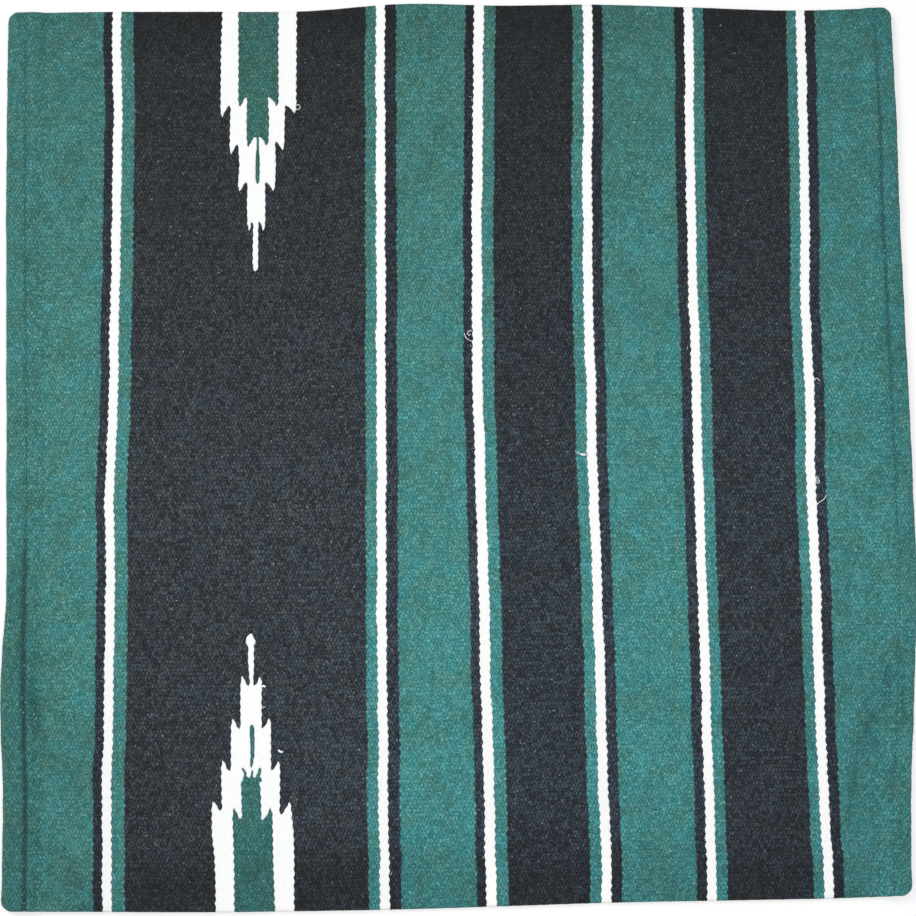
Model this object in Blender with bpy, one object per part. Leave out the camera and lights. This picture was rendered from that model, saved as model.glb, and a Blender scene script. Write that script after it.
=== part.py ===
"""A woven saddle blanket, laid flat.

The blanket rests on z = 0 with its face up, in metres. X runs along the warp, from the left hem to the
right hem and across the stripes. Y runs along the weft, from selvedge to selvedge. Each colour of weft is
a flattened sleeve of its own that the warp layer passes through, since the weft goes over and under the
warp and turns back at both selvedges. The two hems are the border bands, turned under and sewn.
"""

import math
from collections.abc import Callable
from dataclasses import dataclass

import bmesh
import bpy

# Lengths along the warp, between the hem edges and the middles of the white stripes
LEFT_BORDER = 0.096
FIGURE_FIELD = 0.243
GREEN_FIELD_LEFT = 0.091
BLACK_FIELD_MIDDLE = 0.102
GREEN_FIELD_RIGHT = 0.094
BLACK_FIELD_RIGHT = 0.103
RIGHT_BORDER = 0.084

# The stripe group on each join of two fields
WHITE_STRIPE = 0.008
NARROW_BLACK = 0.0085
NARROW_GREEN = 0.011

# The cloth
SELVEDGE_TO_SELVEDGE = 0.813
CLOTH_THICK = 0.005
WARP_THICK = 0.001
SELVEDGE_WALL = 0.003
SEAT_GAP = 0.0003

# How far the hand of the weaver lets the lines stray
EDGE_STRAY = 0.005
SELVEDGE_STRAY = 0.0045
STRIPE_STRAY = 0.003

# The hems
STITCH_INSET = 0.015
HEM_MARGIN = 0.003
RAMP_LENGTH = 0.014
CORNER_RADIUS = 0.008
LAYER_GAP = 0.0004
WARP_TAIL = 0.003
THREAD_THICK = 0.0008
THREAD_END_INSET = 0.004
PRESSED_SHARE = 0.86

# The stepped figures
FIGURE_WIDTH = 0.0696
SHOULDER_WIDTH = 0.0186
STEM_WIDTH = 0.005
SLIVER_WIDTH = 0.0026
FIRST_RISE = 0.0875
STEP_RISE = 0.0365
BARB_LENGTH = 0.0085
STEM_LENGTH = 0.046
TOP_FIGURE_OFFSET = 0.009
BOTTOM_FIGURE_OFFSET = 0.005
STEP_COUNT = 3
CUT_OVERRUN = 0.02

# Shares of the strays at even steps, outwards for the outer edges and towards +X for the stripes.
# Across the blanket they run from the lower selvedge to the upper one, along it from left to right.
LEFT_EDGE_SHARES = (-0.8, -0.2, -0.2, 0.6, 1.0)
RIGHT_EDGE_SHARES = (-2.2, 0.1, 1.0, 0.7, 0.6)
LOWER_SELVEDGE_SHARES = (0.0, 0.6, 1.0, -0.45, -0.65)
UPPER_SELVEDGE_SHARES = (0.25, 0.0, 1.0, 0.55, 0.25)
STRIPE_SHARES = (
    (0.1, -0.2, -0.45, 0.25, 0.05),
    (-0.1, -0.3, -0.25, 0.3, 0.3),
    (0.8, 0.15, -0.75, -0.8, 0.65),
    (0.85, 0.05, -0.8, -0.9, 0.75),
    (0.3, 0.0, -0.35, -0.45, 0.45),
    (0.35, -0.55, -0.65, 0.0, 0.95),
)

# How finely curves are divided
SPANS_ACROSS = 10
SELVEDGE_STEPS = 4
FOLD_STEPS = 6
THREAD_SIDES_LEVEL = 1

# Sizes that follow from the ones above
FIELD_LENGTHS = (
    LEFT_BORDER,
    FIGURE_FIELD,
    GREEN_FIELD_LEFT,
    BLACK_FIELD_MIDDLE,
    GREEN_FIELD_RIGHT,
    BLACK_FIELD_RIGHT,
    RIGHT_BORDER,
)
HALF_LENGTH = sum(FIELD_LENGTHS) / 2
HALF_WIDTH = SELVEDGE_TO_SELVEDGE / 2
SLOT_HALF = WARP_THICK / 2 + SEAT_GAP
HEM_LAYER = CLOTH_THICK * PRESSED_SHARE
FOLD_RADIUS = (HEM_LAYER + LAYER_GAP) / 2
FOLD_INSET = HEM_LAYER / 2 + FOLD_RADIUS
PINCH = THREAD_THICK + SEAT_GAP + SEAT_GAP / 2
UNDER_MIDDLE = HEM_LAYER / 2
OVER_MIDDLE = UNDER_MIDDLE + 2 * FOLD_RADIUS
HALF_GAP = SEAT_GAP / 2
STEP_WIDTH = (FIGURE_WIDTH - SHOULDER_WIDTH) / 2 / STEP_COUNT

FIELD_NAMES = (
    "green_border_left",
    "black_figure_field",
    "green_field_left",
    "black_field_middle",
    "green_field_right",
    "black_field_right",
    "green_border_right",
)


def smooth_share(shares: tuple[float, ...], place: float) -> float:
    """The value at a place from -1 to 1 of a smooth curve through evenly spaced shares."""
    spans = len(shares) - 1
    along = (place + 1) / 2 * spans
    first = max(0, min(int(along), spans - 1))
    t = along - first
    a, b = shares[first], shares[first + 1]
    before = shares[max(first - 1, 0)]
    after = shares[min(first + 2, spans)]
    bend = 2 * before - 5 * a + 4 * b - after
    twist = 3 * a - before - 3 * b + after
    return a + ((b - before) * t + bend * t**2 + twist * t**3) / 2


def straying(middle: float, stray: float, shares: tuple[float, ...]) -> Callable[[float], float]:
    """A line across the blanket: its x at any place from -1, the lower selvedge, to 1."""
    return lambda place: middle + stray * smooth_share(shares, place)


def selvedge(x: float, side: int) -> float:
    """The y of the upper selvedge (side 1) or the lower one (side -1) at x."""
    shares = UPPER_SELVEDGE_SHARES if side > 0 else LOWER_SELVEDGE_SHARES
    place = max(-1, min(x / HALF_LENGTH, 1))
    return side * (HALF_WIDTH + SELVEDGE_STRAY * smooth_share(shares, place))


@dataclass(frozen=True)
class Station:
    """A cross-section of the cloth, along a line from selvedge to selvedge.

    x_at gives its x at a place from -1 to 1, height is that of the middle of the cloth, facing is the
    angle in the XZ plane that the face of the cloth looks at, and trim shortens it at a round corner.
    """

    x_at: Callable[[float], float]
    height: float = CLOTH_THICK / 2
    facing: float = math.pi / 2
    thick: float = CLOTH_THICK
    trim: float = 0.0

    def point(self, place: float, side_inset: float, lift: float) -> tuple[float, float, float]:
        """A point at a place along the line, lifted off the middle of the cloth towards its face."""
        x = self.x_at(place)
        ends = [selvedge(self.x_at(side), side) - side * (self.trim + side_inset) for side in (-1, 1)]
        y = ends[0] + (ends[1] - ends[0]) * (place + 1) / 2
        return x + lift * math.cos(self.facing), y, self.height + lift * math.sin(self.facing)

    def loop(self, half_thick: float, end_inset: float, round_steps: int) -> list:
        """Points round the section: along its face, round one selvedge, back and round the other."""
        places = [2 * i / SPANS_ACROSS - 1 for i in range(SPANS_ACROSS + 1)]
        flat_inset = end_inset + (half_thick if round_steps else 0)
        points = [self.point(place, flat_inset, half_thick) for place in places]
        turns = [math.pi / 2 - math.pi * i / round_steps for i in range(1, round_steps)]
        for turn in turns:
            inset = flat_inset - half_thick * math.cos(turn)
            points.append(self.point(1, inset, half_thick * math.sin(turn)))
        points += [self.point(place, flat_inset, -half_thick) for place in reversed(places)]
        for turn in reversed(turns):
            inset = flat_inset - half_thick * math.cos(turn)
            points.append(self.point(-1, inset, half_thick * math.sin(turn)))
        return points


def make_object(name: str, data: bpy.types.ID, material: bpy.types.Material | None) -> bpy.types.Object:
    """Puts data in the scene as an object, with a material of its own if one is given."""
    piece = bpy.data.objects.new(name, data)
    bpy.context.scene.collection.objects.link(piece)
    if material:
        data.materials.append(material)
    return piece


def mesh_of(name: str, bm: bmesh.types.BMesh) -> bpy.types.Mesh:
    """Turns the faces of bm outwards and writes them to a new mesh."""
    bmesh.ops.recalc_face_normals(bm, faces=bm.faces)
    mesh = bpy.data.meshes.new(name)
    bm.to_mesh(mesh)
    bm.free()
    return mesh


def bridge(bm: bmesh.types.BMesh, first: list, second: list) -> None:
    """Fills the strip between two closed loops with as many vertices each."""
    for i in range(len(first)):
        bm.faces.new((first[i - 1], first[i], second[i], second[i - 1]))


def sleeve_mesh(name: str, stations: list[Station]) -> bpy.types.Mesh:
    """A flattened sleeve of weft: a wall all round, with the slot that the warp layer runs through."""
    bm = bmesh.new()
    outer = []
    inner = []
    for station in stations:
        outside = station.loop(station.thick / 2, 0, SELVEDGE_STEPS)
        slot = station.loop(SLOT_HALF, SELVEDGE_WALL, SELVEDGE_STEPS)
        outer.append([bm.verts.new(point) for point in outside])
        inner.append([bm.verts.new(point) for point in slot])
    for loops in (outer, inner):
        for first, second in zip(loops, loops[1:]):
            bridge(bm, first, second)
    for end in (0, -1):
        bridge(bm, outer[end], inner[end])
    return mesh_of(name, bm)


def warp_mesh(name: str, stations: list[Station]) -> bpy.types.Mesh:
    """The warp layer, which fills the slots of all the sleeves but for the clearance."""
    bm = bmesh.new()
    loops = []
    for station in stations:
        section = station.loop(WARP_THICK / 2, SELVEDGE_WALL + SEAT_GAP, 0)
        loops.append([bm.verts.new(point) for point in section])
    for first, second in zip(loops, loops[1:]):
        bridge(bm, first, second)
    for loop in (loops[0], loops[-1]):
        for i in range(SPANS_ACROSS):
            bm.faces.new((loop[i], loop[i + 1], loop[-2 - i], loop[-1 - i]))
    return mesh_of(name, bm)


def corner_trim(inset: float) -> float:
    """How much a round corner of the hem takes off a section this far inside the hem's edge."""
    depth = max(CORNER_RADIUS - max(inset - HEM_LAYER / 2, 0), 0)
    return CORNER_RADIUS - math.sqrt(CORNER_RADIUS**2 - depth**2)


def hem_stations(side: int) -> list[Station]:
    """The sections of one hem, from where the cloth leaves the floor to the raw end under the hem."""
    shares = RIGHT_EDGE_SHARES if side > 0 else LEFT_EDGE_SHARES

    def section(inset: float, height: float, thick: float, turn: float = 0.0) -> Station:
        x_at = straying(side * (HALF_LENGTH - inset), side * EDGE_STRAY, shares)
        facing = math.pi / 2 - side * turn
        return Station(x_at, height, facing, thick, corner_trim(inset))

    flat_inset = STITCH_INSET + HEM_MARGIN
    sewn = HEM_LAYER - PINCH
    crown_inset = (FOLD_INSET + STITCH_INSET - HEM_MARGIN) / 2
    half_way = (CLOTH_THICK / 2 + OVER_MIDDLE) / 2
    over = [
        section(flat_inset + RAMP_LENGTH, CLOTH_THICK / 2, CLOTH_THICK),
        section(flat_inset + RAMP_LENGTH / 2, half_way, (CLOTH_THICK + HEM_LAYER) / 2),
        section(flat_inset, OVER_MIDDLE, HEM_LAYER),
        section(STITCH_INSET, OVER_MIDDLE - PINCH / 2, sewn),
        section(STITCH_INSET - HEM_MARGIN, OVER_MIDDLE, HEM_LAYER),
        section(crown_inset, OVER_MIDDLE, HEM_LAYER),
    ]
    fold = []
    for i in range(FOLD_STEPS + 1):
        turn = math.pi * i / FOLD_STEPS
        inset = FOLD_INSET - FOLD_RADIUS * math.sin(turn)
        height = UNDER_MIDDLE + FOLD_RADIUS + FOLD_RADIUS * math.cos(turn)
        fold.append(section(inset, height, HEM_LAYER, turn))
    under = [
        section(crown_inset, UNDER_MIDDLE, HEM_LAYER, math.pi),
        section(STITCH_INSET - HEM_MARGIN, UNDER_MIDDLE, HEM_LAYER, math.pi),
        section(STITCH_INSET, UNDER_MIDDLE + PINCH / 2, sewn, math.pi),
        section(flat_inset, UNDER_MIDDLE, HEM_LAYER, math.pi),
    ]
    return over + fold + under


def warp_tail(side: int) -> Station:
    """The last section of the warp, where its ends stand out of the raw end of the cloth."""
    shares = RIGHT_EDGE_SHARES if side > 0 else LEFT_EDGE_SHARES
    inset = STITCH_INSET + HEM_MARGIN + WARP_TAIL
    x_at = straying(side * (HALF_LENGTH - inset), side * EDGE_STRAY, shares)
    return Station(x_at, UNDER_MIDDLE, math.pi / 2 - side * math.pi)


@dataclass(frozen=True)
class StripeGroup:
    """A white stripe on the join of two fields, with a narrow stripe on either side of it.

    The narrow stripe beside a green field is black, and the one beside a black field is green.
    """

    number: int
    middle: float
    shares: tuple[float, ...]

    def colours(self) -> tuple[str, str, str]:
        """The colours of the three stripes, from left to right."""
        return ("black", "white", "green") if self.number % 2 else ("green", "white", "black")

    def offsets(self) -> tuple[float, ...]:
        """The offsets of the four edges of the stripes from the middle line."""
        widths = {"black": NARROW_BLACK, "green": NARROW_GREEN}
        first, _, last = self.colours()
        half = WHITE_STRIPE / 2
        return -half - widths[first], -half, half, half + widths[last]

    def edge(self, offset: float) -> Station:
        """The section through the cloth at an offset from the middle line."""
        return Station(straying(self.middle + offset, STRIPE_STRAY, self.shares))


def stripe_groups() -> list[StripeGroup]:
    """The groups of stripes, from left to right."""
    groups = []
    middle = -HALF_LENGTH
    for number, (length, shares) in enumerate(zip(FIELD_LENGTHS, STRIPE_SHARES), 1):
        middle += length
        groups.append(StripeGroup(number, middle, shares))
    return groups


def build_bands(yarns: dict[str, bpy.types.Material]) -> None:
    """Makes every band of weft from the left hem to the right one, but for those in the figures."""
    start = list(reversed(hem_stations(-1)))
    for group, field in zip(stripe_groups(), FIELD_NAMES):
        first, white, last = group.colours()
        names = (
            field,
            f"narrow_{first}_{group.number}",
            f"{white}_stripe_{group.number}",
            f"narrow_{last}_{group.number}",
        )
        colours = (field.split("_")[0], first, white, last)
        for name, colour, offset in zip(names, colours, group.offsets()):
            end = group.edge(offset - HALF_GAP)
            make_object(name, sleeve_mesh(name, start + [end]), yarns[colour])
            start = [group.edge(offset + HALF_GAP)]
    last_field = FIELD_NAMES[-1]
    make_object(last_field, sleeve_mesh(last_field, start + hem_stations(1)), yarns["green"])


def stepped_outline(half_widths: list[float], notches: list[float], grow: float) -> list:
    """The outline of a stepped figure that stands on y = 0, as (x, y) points.

    Each step ends in a barb: its outer side runs on past the notch where the next step begins. The last
    of the notches is the figure's end. A positive grow moves the whole outline outwards.
    """
    right = [(half_widths[0] + grow, -CUT_OVERRUN)]
    for wide, narrow, notch in zip(half_widths, half_widths[1:], notches):
        slope = BARB_LENGTH / (wide - narrow)
        lift = grow * (slope + math.hypot(1, slope))
        right.append((wide + grow, notch + BARB_LENGTH + lift))
        right.append((narrow + grow, notch + lift))
    right.append((half_widths[-1] + grow, notches[-1] + grow))
    return right + [(-x, y) for x, y in reversed(right)]


def white_outline(grow: float) -> list:
    """The white figure, from its two legs at the selvedge to the end of its stem."""
    half_widths = [SHOULDER_WIDTH / 2 + STEP_WIDTH * (STEP_COUNT - i) for i in range(STEP_COUNT + 1)]
    notches = [FIRST_RISE + STEP_RISE * i for i in range(STEP_COUNT + 1)]
    end = notches[-1] + STEM_LENGTH
    return stepped_outline(half_widths + [STEM_WIDTH / 2], notches + [end], grow)


def green_outline(grow: float) -> list:
    """The green core between the legs, down to a sliver. Its steps end one barb before the white ones."""
    half_widths = [SLIVER_WIDTH / 2 + STEP_WIDTH * (STEP_COUNT - 1 - i) for i in range(STEP_COUNT)]
    notches = [FIRST_RISE - BARB_LENGTH + STEP_RISE * i for i in range(STEP_COUNT - 1)]
    end = FIRST_RISE + STEP_RISE * (STEP_COUNT - 1)
    return stepped_outline(half_widths, notches + [end], grow)


def outline_cutter(name: str, outline: list, middle: float, side: int) -> bpy.types.Object:
    """A block with a figure's outline, standing on one selvedge and pointing to the other."""
    bm = bmesh.new()
    foot = selvedge(middle, side)
    ring = [bm.verts.new((middle + x, foot - side * y, -CUT_OVERRUN)) for x, y in outline]
    face = bm.faces.new(ring)
    raised = bmesh.ops.extrude_face_region(bm, geom=[face])["geom"]
    top = [part for part in raised if isinstance(part, bmesh.types.BMVert)]
    bmesh.ops.translate(bm, verts=top, vec=(0, 0, CLOTH_THICK + 2 * CUT_OVERRUN))
    cutter = make_object(name, mesh_of(name, bm), None)
    cutter.hide_render = True
    cutter.display_type = "WIRE"
    return cutter


def apply_cut(piece: bpy.types.Object, operation: str, cutter: bpy.types.Object) -> None:
    """Adds a Boolean of one cutter to a piece."""
    boolean = piece.modifiers.new(cutter.name, "BOOLEAN")
    boolean.operation = operation
    boolean.object = cutter


def build_figures(yarns: dict[str, bpy.types.Material]) -> None:
    """Lets the two stepped figures into the wide black field, each from its own selvedge."""
    field = bpy.data.objects["black_figure_field"]
    whole = field.data
    left, right = (group.middle for group in stripe_groups()[:2])
    for place, side, offset in (("top", 1, TOP_FIGURE_OFFSET), ("bottom", -1, BOTTOM_FIGURE_OFFSET)):
        middle = (left + right) / 2 + offset
        room = outline_cutter(f"room_{place}", white_outline(HALF_GAP), middle, side)
        apply_cut(field, "DIFFERENCE", room)
        for name, outline, colour in (
            (f"white_figure_{place}", white_outline(-HALF_GAP), "white"),
            (f"green_core_{place}", green_outline(-HALF_GAP), "green"),
        ):
            data = whole.copy()
            data.materials.clear()
            piece = make_object(name, data, yarns[colour])
            apply_cut(piece, "INTERSECT", outline_cutter(f"{name}_outline", outline, middle, side))
        core_room = outline_cutter(f"core_room_{place}", green_outline(HALF_GAP), middle, side)
        apply_cut(bpy.data.objects[f"white_figure_{place}"], "DIFFERENCE", core_room)


def build_warp(material: bpy.types.Material) -> None:
    """Runs the warp layer through all the bands, round both folds and out of both raw ends."""
    middle = []
    for group in stripe_groups():
        first, *_, last = group.offsets()
        middle += [group.edge(first), group.edge(last)]
    left = [warp_tail(-1)] + list(reversed(hem_stations(-1)))
    right = hem_stations(1) + [warp_tail(1)]
    make_object("warp_layer", warp_mesh("warp_layer", left + middle + right), material)


def build_thread(name: str, side: int, height: float, material: bpy.types.Material) -> None:
    """Lays one sewing thread along a hem, in the groove that it draws into the cloth."""
    shares = RIGHT_EDGE_SHARES if side > 0 else LEFT_EDGE_SHARES
    x_at = straying(side * (HALF_LENGTH - STITCH_INSET), side * EDGE_STRAY, shares)
    station = Station(x_at, height)
    curve = bpy.data.curves.new(name, "CURVE")
    curve.dimensions = "3D"
    curve.bevel_depth = THREAD_THICK / 2
    curve.bevel_resolution = THREAD_SIDES_LEVEL
    curve.use_fill_caps = True
    spline = curve.splines.new("POLY")
    spline.points.add(SPANS_ACROSS)
    for i, point in enumerate(spline.points):
        place = 2 * i / SPANS_ACROSS - 1
        point.co = (*station.point(place, THREAD_END_INSET, 0), 1)
    make_object(name, curve, material)


def build_threads(material: bpy.types.Material) -> None:
    """Sews both hems, each with a needle thread on the face and a bobbin thread underneath."""
    seat = SEAT_GAP + THREAD_THICK / 2
    hem_top = OVER_MIDDLE + HEM_LAYER / 2
    for side, place in ((-1, "left"), (1, "right")):
        build_thread(f"needle_thread_{place}", side, hem_top - PINCH + seat, material)
        build_thread(f"bobbin_thread_{place}", side, PINCH - seat, material)


def yarn_material(name: str, colour: tuple[float, float, float], roughness: float) -> bpy.types.Material:
    """A plain yarn of one colour, given as linear red, green and blue."""
    material = bpy.data.materials.new(name)
    material.use_nodes = True
    shader = material.node_tree.nodes["Principled BSDF"]
    shader.inputs["Base Color"].default_value = (*colour, 1)
    shader.inputs["Roughness"].default_value = roughness
    shader.inputs["Metallic"].default_value = 0
    return material


def main() -> None:
    """Clears the scene and builds the blanket."""
    for old in list(bpy.data.objects):
        bpy.data.objects.remove(old)
    yarns = {
        "green": yarn_material("green_weft", (0.063, 0.214, 0.205), 0.9),
        "black": yarn_material("black_weft", (0.033, 0.039, 0.045), 0.9),
        "white": yarn_material("white_weft", (0.85, 0.86, 0.84), 0.9),
    }
    build_bands(yarns)
    build_figures(yarns)
    build_warp(yarn_material("warp_cotton", (0.62, 0.58, 0.5), 0.85))
    build_threads(yarn_material("sewing_thread", (0.02, 0.05, 0.05), 0.6))


main()
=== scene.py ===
"""A woven wool saddle blanket, laid flat on a pale floor and seen from above.

X runs along the hidden warp, across the stripes, and Y along the weft, from selvedge to selvedge. The
cloth is weft-faced plain weave: each thick warp end makes a rib along X, and every pick of wool floats
over one end and under the next, so the floats lie like bricks. Every colour of weft is a closed piece of
its own, and all of them follow the same lines of picks and ribs.
"""

import logging
import math
from collections.abc import Callable, Iterable
from dataclasses import dataclass, fields
from enum import Enum
from functools import cached_property

import bpy
import numpy as np
from bpy.types import ID, Material, Mesh, Node, NodeSocket, NodeTree, Object
from mathutils import Matrix, Vector


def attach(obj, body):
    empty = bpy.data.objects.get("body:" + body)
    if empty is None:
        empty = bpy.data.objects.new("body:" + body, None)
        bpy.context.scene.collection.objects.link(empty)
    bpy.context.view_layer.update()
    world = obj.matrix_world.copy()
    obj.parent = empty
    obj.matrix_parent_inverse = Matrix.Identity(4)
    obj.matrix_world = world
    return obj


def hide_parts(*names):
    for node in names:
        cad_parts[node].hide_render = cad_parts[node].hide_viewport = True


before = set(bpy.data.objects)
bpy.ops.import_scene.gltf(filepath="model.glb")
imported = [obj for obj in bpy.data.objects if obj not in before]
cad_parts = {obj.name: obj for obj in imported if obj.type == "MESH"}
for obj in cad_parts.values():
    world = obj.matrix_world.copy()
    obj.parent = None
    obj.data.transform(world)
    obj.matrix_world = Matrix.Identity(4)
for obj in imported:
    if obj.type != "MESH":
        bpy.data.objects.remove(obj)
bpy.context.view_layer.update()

Array = np.ndarray
Colour = tuple[float, float, float]
Shares = tuple[float, ...]
Points = tuple[tuple[float, float], ...]
Line = tuple[Array, int]
NUMBER, VECTOR, WHOLE = "NodeSocketFloat", "NodeSocketVector", "NodeSocketInt"
GEOMETRY, MATERIAL = "NodeSocketGeometry", "NodeSocketMaterial"
log = logging.getLogger("saddle_blanket")


class Yarn(Enum):
    """The yarns of the blanket, each with the name of its material slot."""

    GREEN = "green_weft"
    BLACK = "black_weft"
    WHITE = "white_weft"
    WARP = "warp_cotton"
    THREAD = "sewing_thread"


class Side(Enum):
    """A side of the blanket, as the sign of its axis."""

    LOW = -1
    HIGH = 1


def operator(operation: str, is_swapped: bool = False) -> Callable[..., "Value"]:
    """Makes an operator that places a maths node.

    Args:
        operation: the node's operation.
        is_swapped: whether the value itself comes second.

    Returns:
        The operator, which takes a value and any others and gives the node's result.
    """

    def place(first: "Value", *others: object) -> "Value":
        """Places the node."""
        return first.sheet.math(operation, *(others + (first,) if is_swapped else (first,) + others))

    return place


@dataclass
class Value:
    """A node's output, which can be used in sums: each operator places a node."""

    sheet: "NodeSheet"
    socket: NodeSocket

    __add__ = __radd__ = operator("ADD")
    __sub__ = operator("SUBTRACT")
    __rsub__ = operator("SUBTRACT", is_swapped=True)
    __mul__ = __rmul__ = operator("MULTIPLY")
    __pow__ = operator("POWER")
    __abs__ = operator("ABSOLUTE")
    at_least = operator("MAXIMUM")
    at_most = operator("MINIMUM")
    is_below = operator("LESS_THAN")
    floor = operator("FLOOR")
    fraction = operator("FRACT")
    sine = operator("SINE")
    cosine = operator("COSINE")


class NodeSheet:
    """Writes nodes into a tree, with their inputs filled in as they are placed."""

    nodes_in_row: int = 12
    spacing: tuple[int, int] = (180, -200)
    noise_roughness: float = 0.65

    def __init__(self, tree: NodeTree) -> None:
        """Starts writing in a tree."""
        self.tree = tree

    def fill(self, node: Node, inputs: dict) -> None:
        """Fills a node's inputs, with a link where the value is another node's output.

        Args:
            node: the node.
            inputs: what goes in, by the name or number of the input.
        """
        for key, value in inputs.items():
            if isinstance(value, Value):
                self.tree.links.new(value.socket, node.inputs[key])
            else:
                node.inputs[key].default_value = value

    def node(self, kind: str, inputs: dict | None = None, **settings: object) -> dict:
        """Places a node.

        Args:
            kind: the node's type.
            inputs: what goes in, by the name or number of the input.
            settings: properties of the node.

        Returns:
            Its outputs, by name and by number.
        """
        made = self.tree.nodes.new(kind)
        row, column = divmod(len(self.tree.nodes), self.nodes_in_row)
        made.location = (self.spacing[0] * column, self.spacing[1] * row)
        for key, value in settings.items():
            setattr(made, key, value)
        self.fill(made, inputs or {})
        outputs = [Value(self, socket) for socket in made.outputs]
        return {value.socket.name: value for value in outputs} | dict(enumerate(outputs))

    def group(self, tree: NodeTree, inputs: dict) -> dict:
        """The outputs of a group of nodes."""
        return self.node("ShaderNodeGroup", inputs, node_tree=tree)

    def math(self, operation: str, *values: object) -> Value:
        """The result of one sum on numbers."""
        return self.node("ShaderNodeMath", dict(enumerate(values)), operation=operation)[0]

    def times(self, first: object, second: object) -> Value:
        """Two vectors or colours, multiplied part by part."""
        return self.node("ShaderNodeVectorMath", {0: first, 1: second}, operation="MULTIPLY")[0]

    def scaled(self, vector: object, scale: object) -> Value:
        """A vector or colour, made longer or brighter by a number."""
        return self.node("ShaderNodeVectorMath", {0: vector, "Scale": scale}, operation="SCALE")[0]

    def vector(self, x: object, y: object, z: object) -> Value:
        """A vector from its three parts."""
        return self.node("ShaderNodeCombineXYZ", {"X": x, "Y": y, "Z": z})[0]

    def parts(self, vector: Value) -> tuple[Value, Value, Value]:
        """The three parts of a vector."""
        found = self.node("ShaderNodeSeparateXYZ", {"Vector": vector})
        return found[0], found[1], found[2]

    def blend(self, share: object, first: object, second: object) -> Value:
        """A colour between two others."""
        return self.node("ShaderNodeMix", {0: share, 6: first, 7: second}, data_type="RGBA")[2]

    def noise(self, vector: Value, scale: float, detail: float) -> Value:
        """Soft noise, from a half below nothing to a half above it."""
        inputs = {"Vector": vector, "Scale": scale, "Detail": detail, "Roughness": self.noise_roughness}
        return self.node("ShaderNodeTexNoise", inputs)[0] - 0.5

    def by_chance(self, x: Value, y: Value, z: Value) -> Value:
        """A number from minus to plus a half that three whole numbers settle."""
        return self.node("ShaderNodeTexWhiteNoise", {"Vector": self.vector(x, y, z)})[0] - 0.5

    def takes(self, kind: str, *names: str) -> list[Value]:
        """Gives the tree inputs of one type.

        Args:
            kind: their type.
            names: their names.

        Returns:
            The inputs, as seen from inside the tree.
        """
        for name in names:
            self.tree.interface.new_socket(name, in_out="INPUT", socket_type=kind)
        start = self.node("NodeGroupInput")
        return [start[name] for name in names]

    def gives(self, kind: str, results: dict[str, Value]) -> NodeTree:
        """Ends the tree.

        Args:
            kind: the type of its outputs.
            results: what it puts out, by name.

        Returns:
            The tree.
        """
        for name in results:
            self.tree.interface.new_socket(name, in_out="OUTPUT", socket_type=kind)
        self.node("NodeGroupOutput", results)
        return self.tree


class GroupSheet(NodeSheet):
    """The nodes of a new shader group."""

    def __init__(self, name: str) -> None:
        """Begins the group, with a name."""
        super().__init__(bpy.data.node_groups.new(name, "ShaderNodeTree"))


class MaterialSheet(NodeSheet):
    """The nodes of a new material."""

    bump_strength: float = 0.5

    def __init__(self, name: str) -> None:
        """Makes the material.

        Args:
            name: its name.
        """
        self.material = bpy.data.materials.new(name)
        self.material.use_nodes = True
        super().__init__(self.material.node_tree)

    @cached_property
    def position(self) -> Value:
        """The place on the object."""
        return self.node("ShaderNodeTexCoord")["Object"]

    def attribute(self, name: str) -> Value:
        """The value of an attribute of the mesh."""
        return self.node("ShaderNodeAttribute", attribute_name=name)["Vector"]

    def relief(self, height: Value, depth: float) -> Value:
        """The normal of a surface with low relief."""
        inputs = {"Height": height, "Distance": depth, "Strength": self.bump_strength}
        return self.node("ShaderNodeBump", inputs)[0]

    def shade(self, inputs: dict) -> Material:
        """Fills the Principled shader's inputs, and gives the material."""
        self.fill(self.tree.nodes["Principled BSDF"], inputs)
        return self.material


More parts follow.
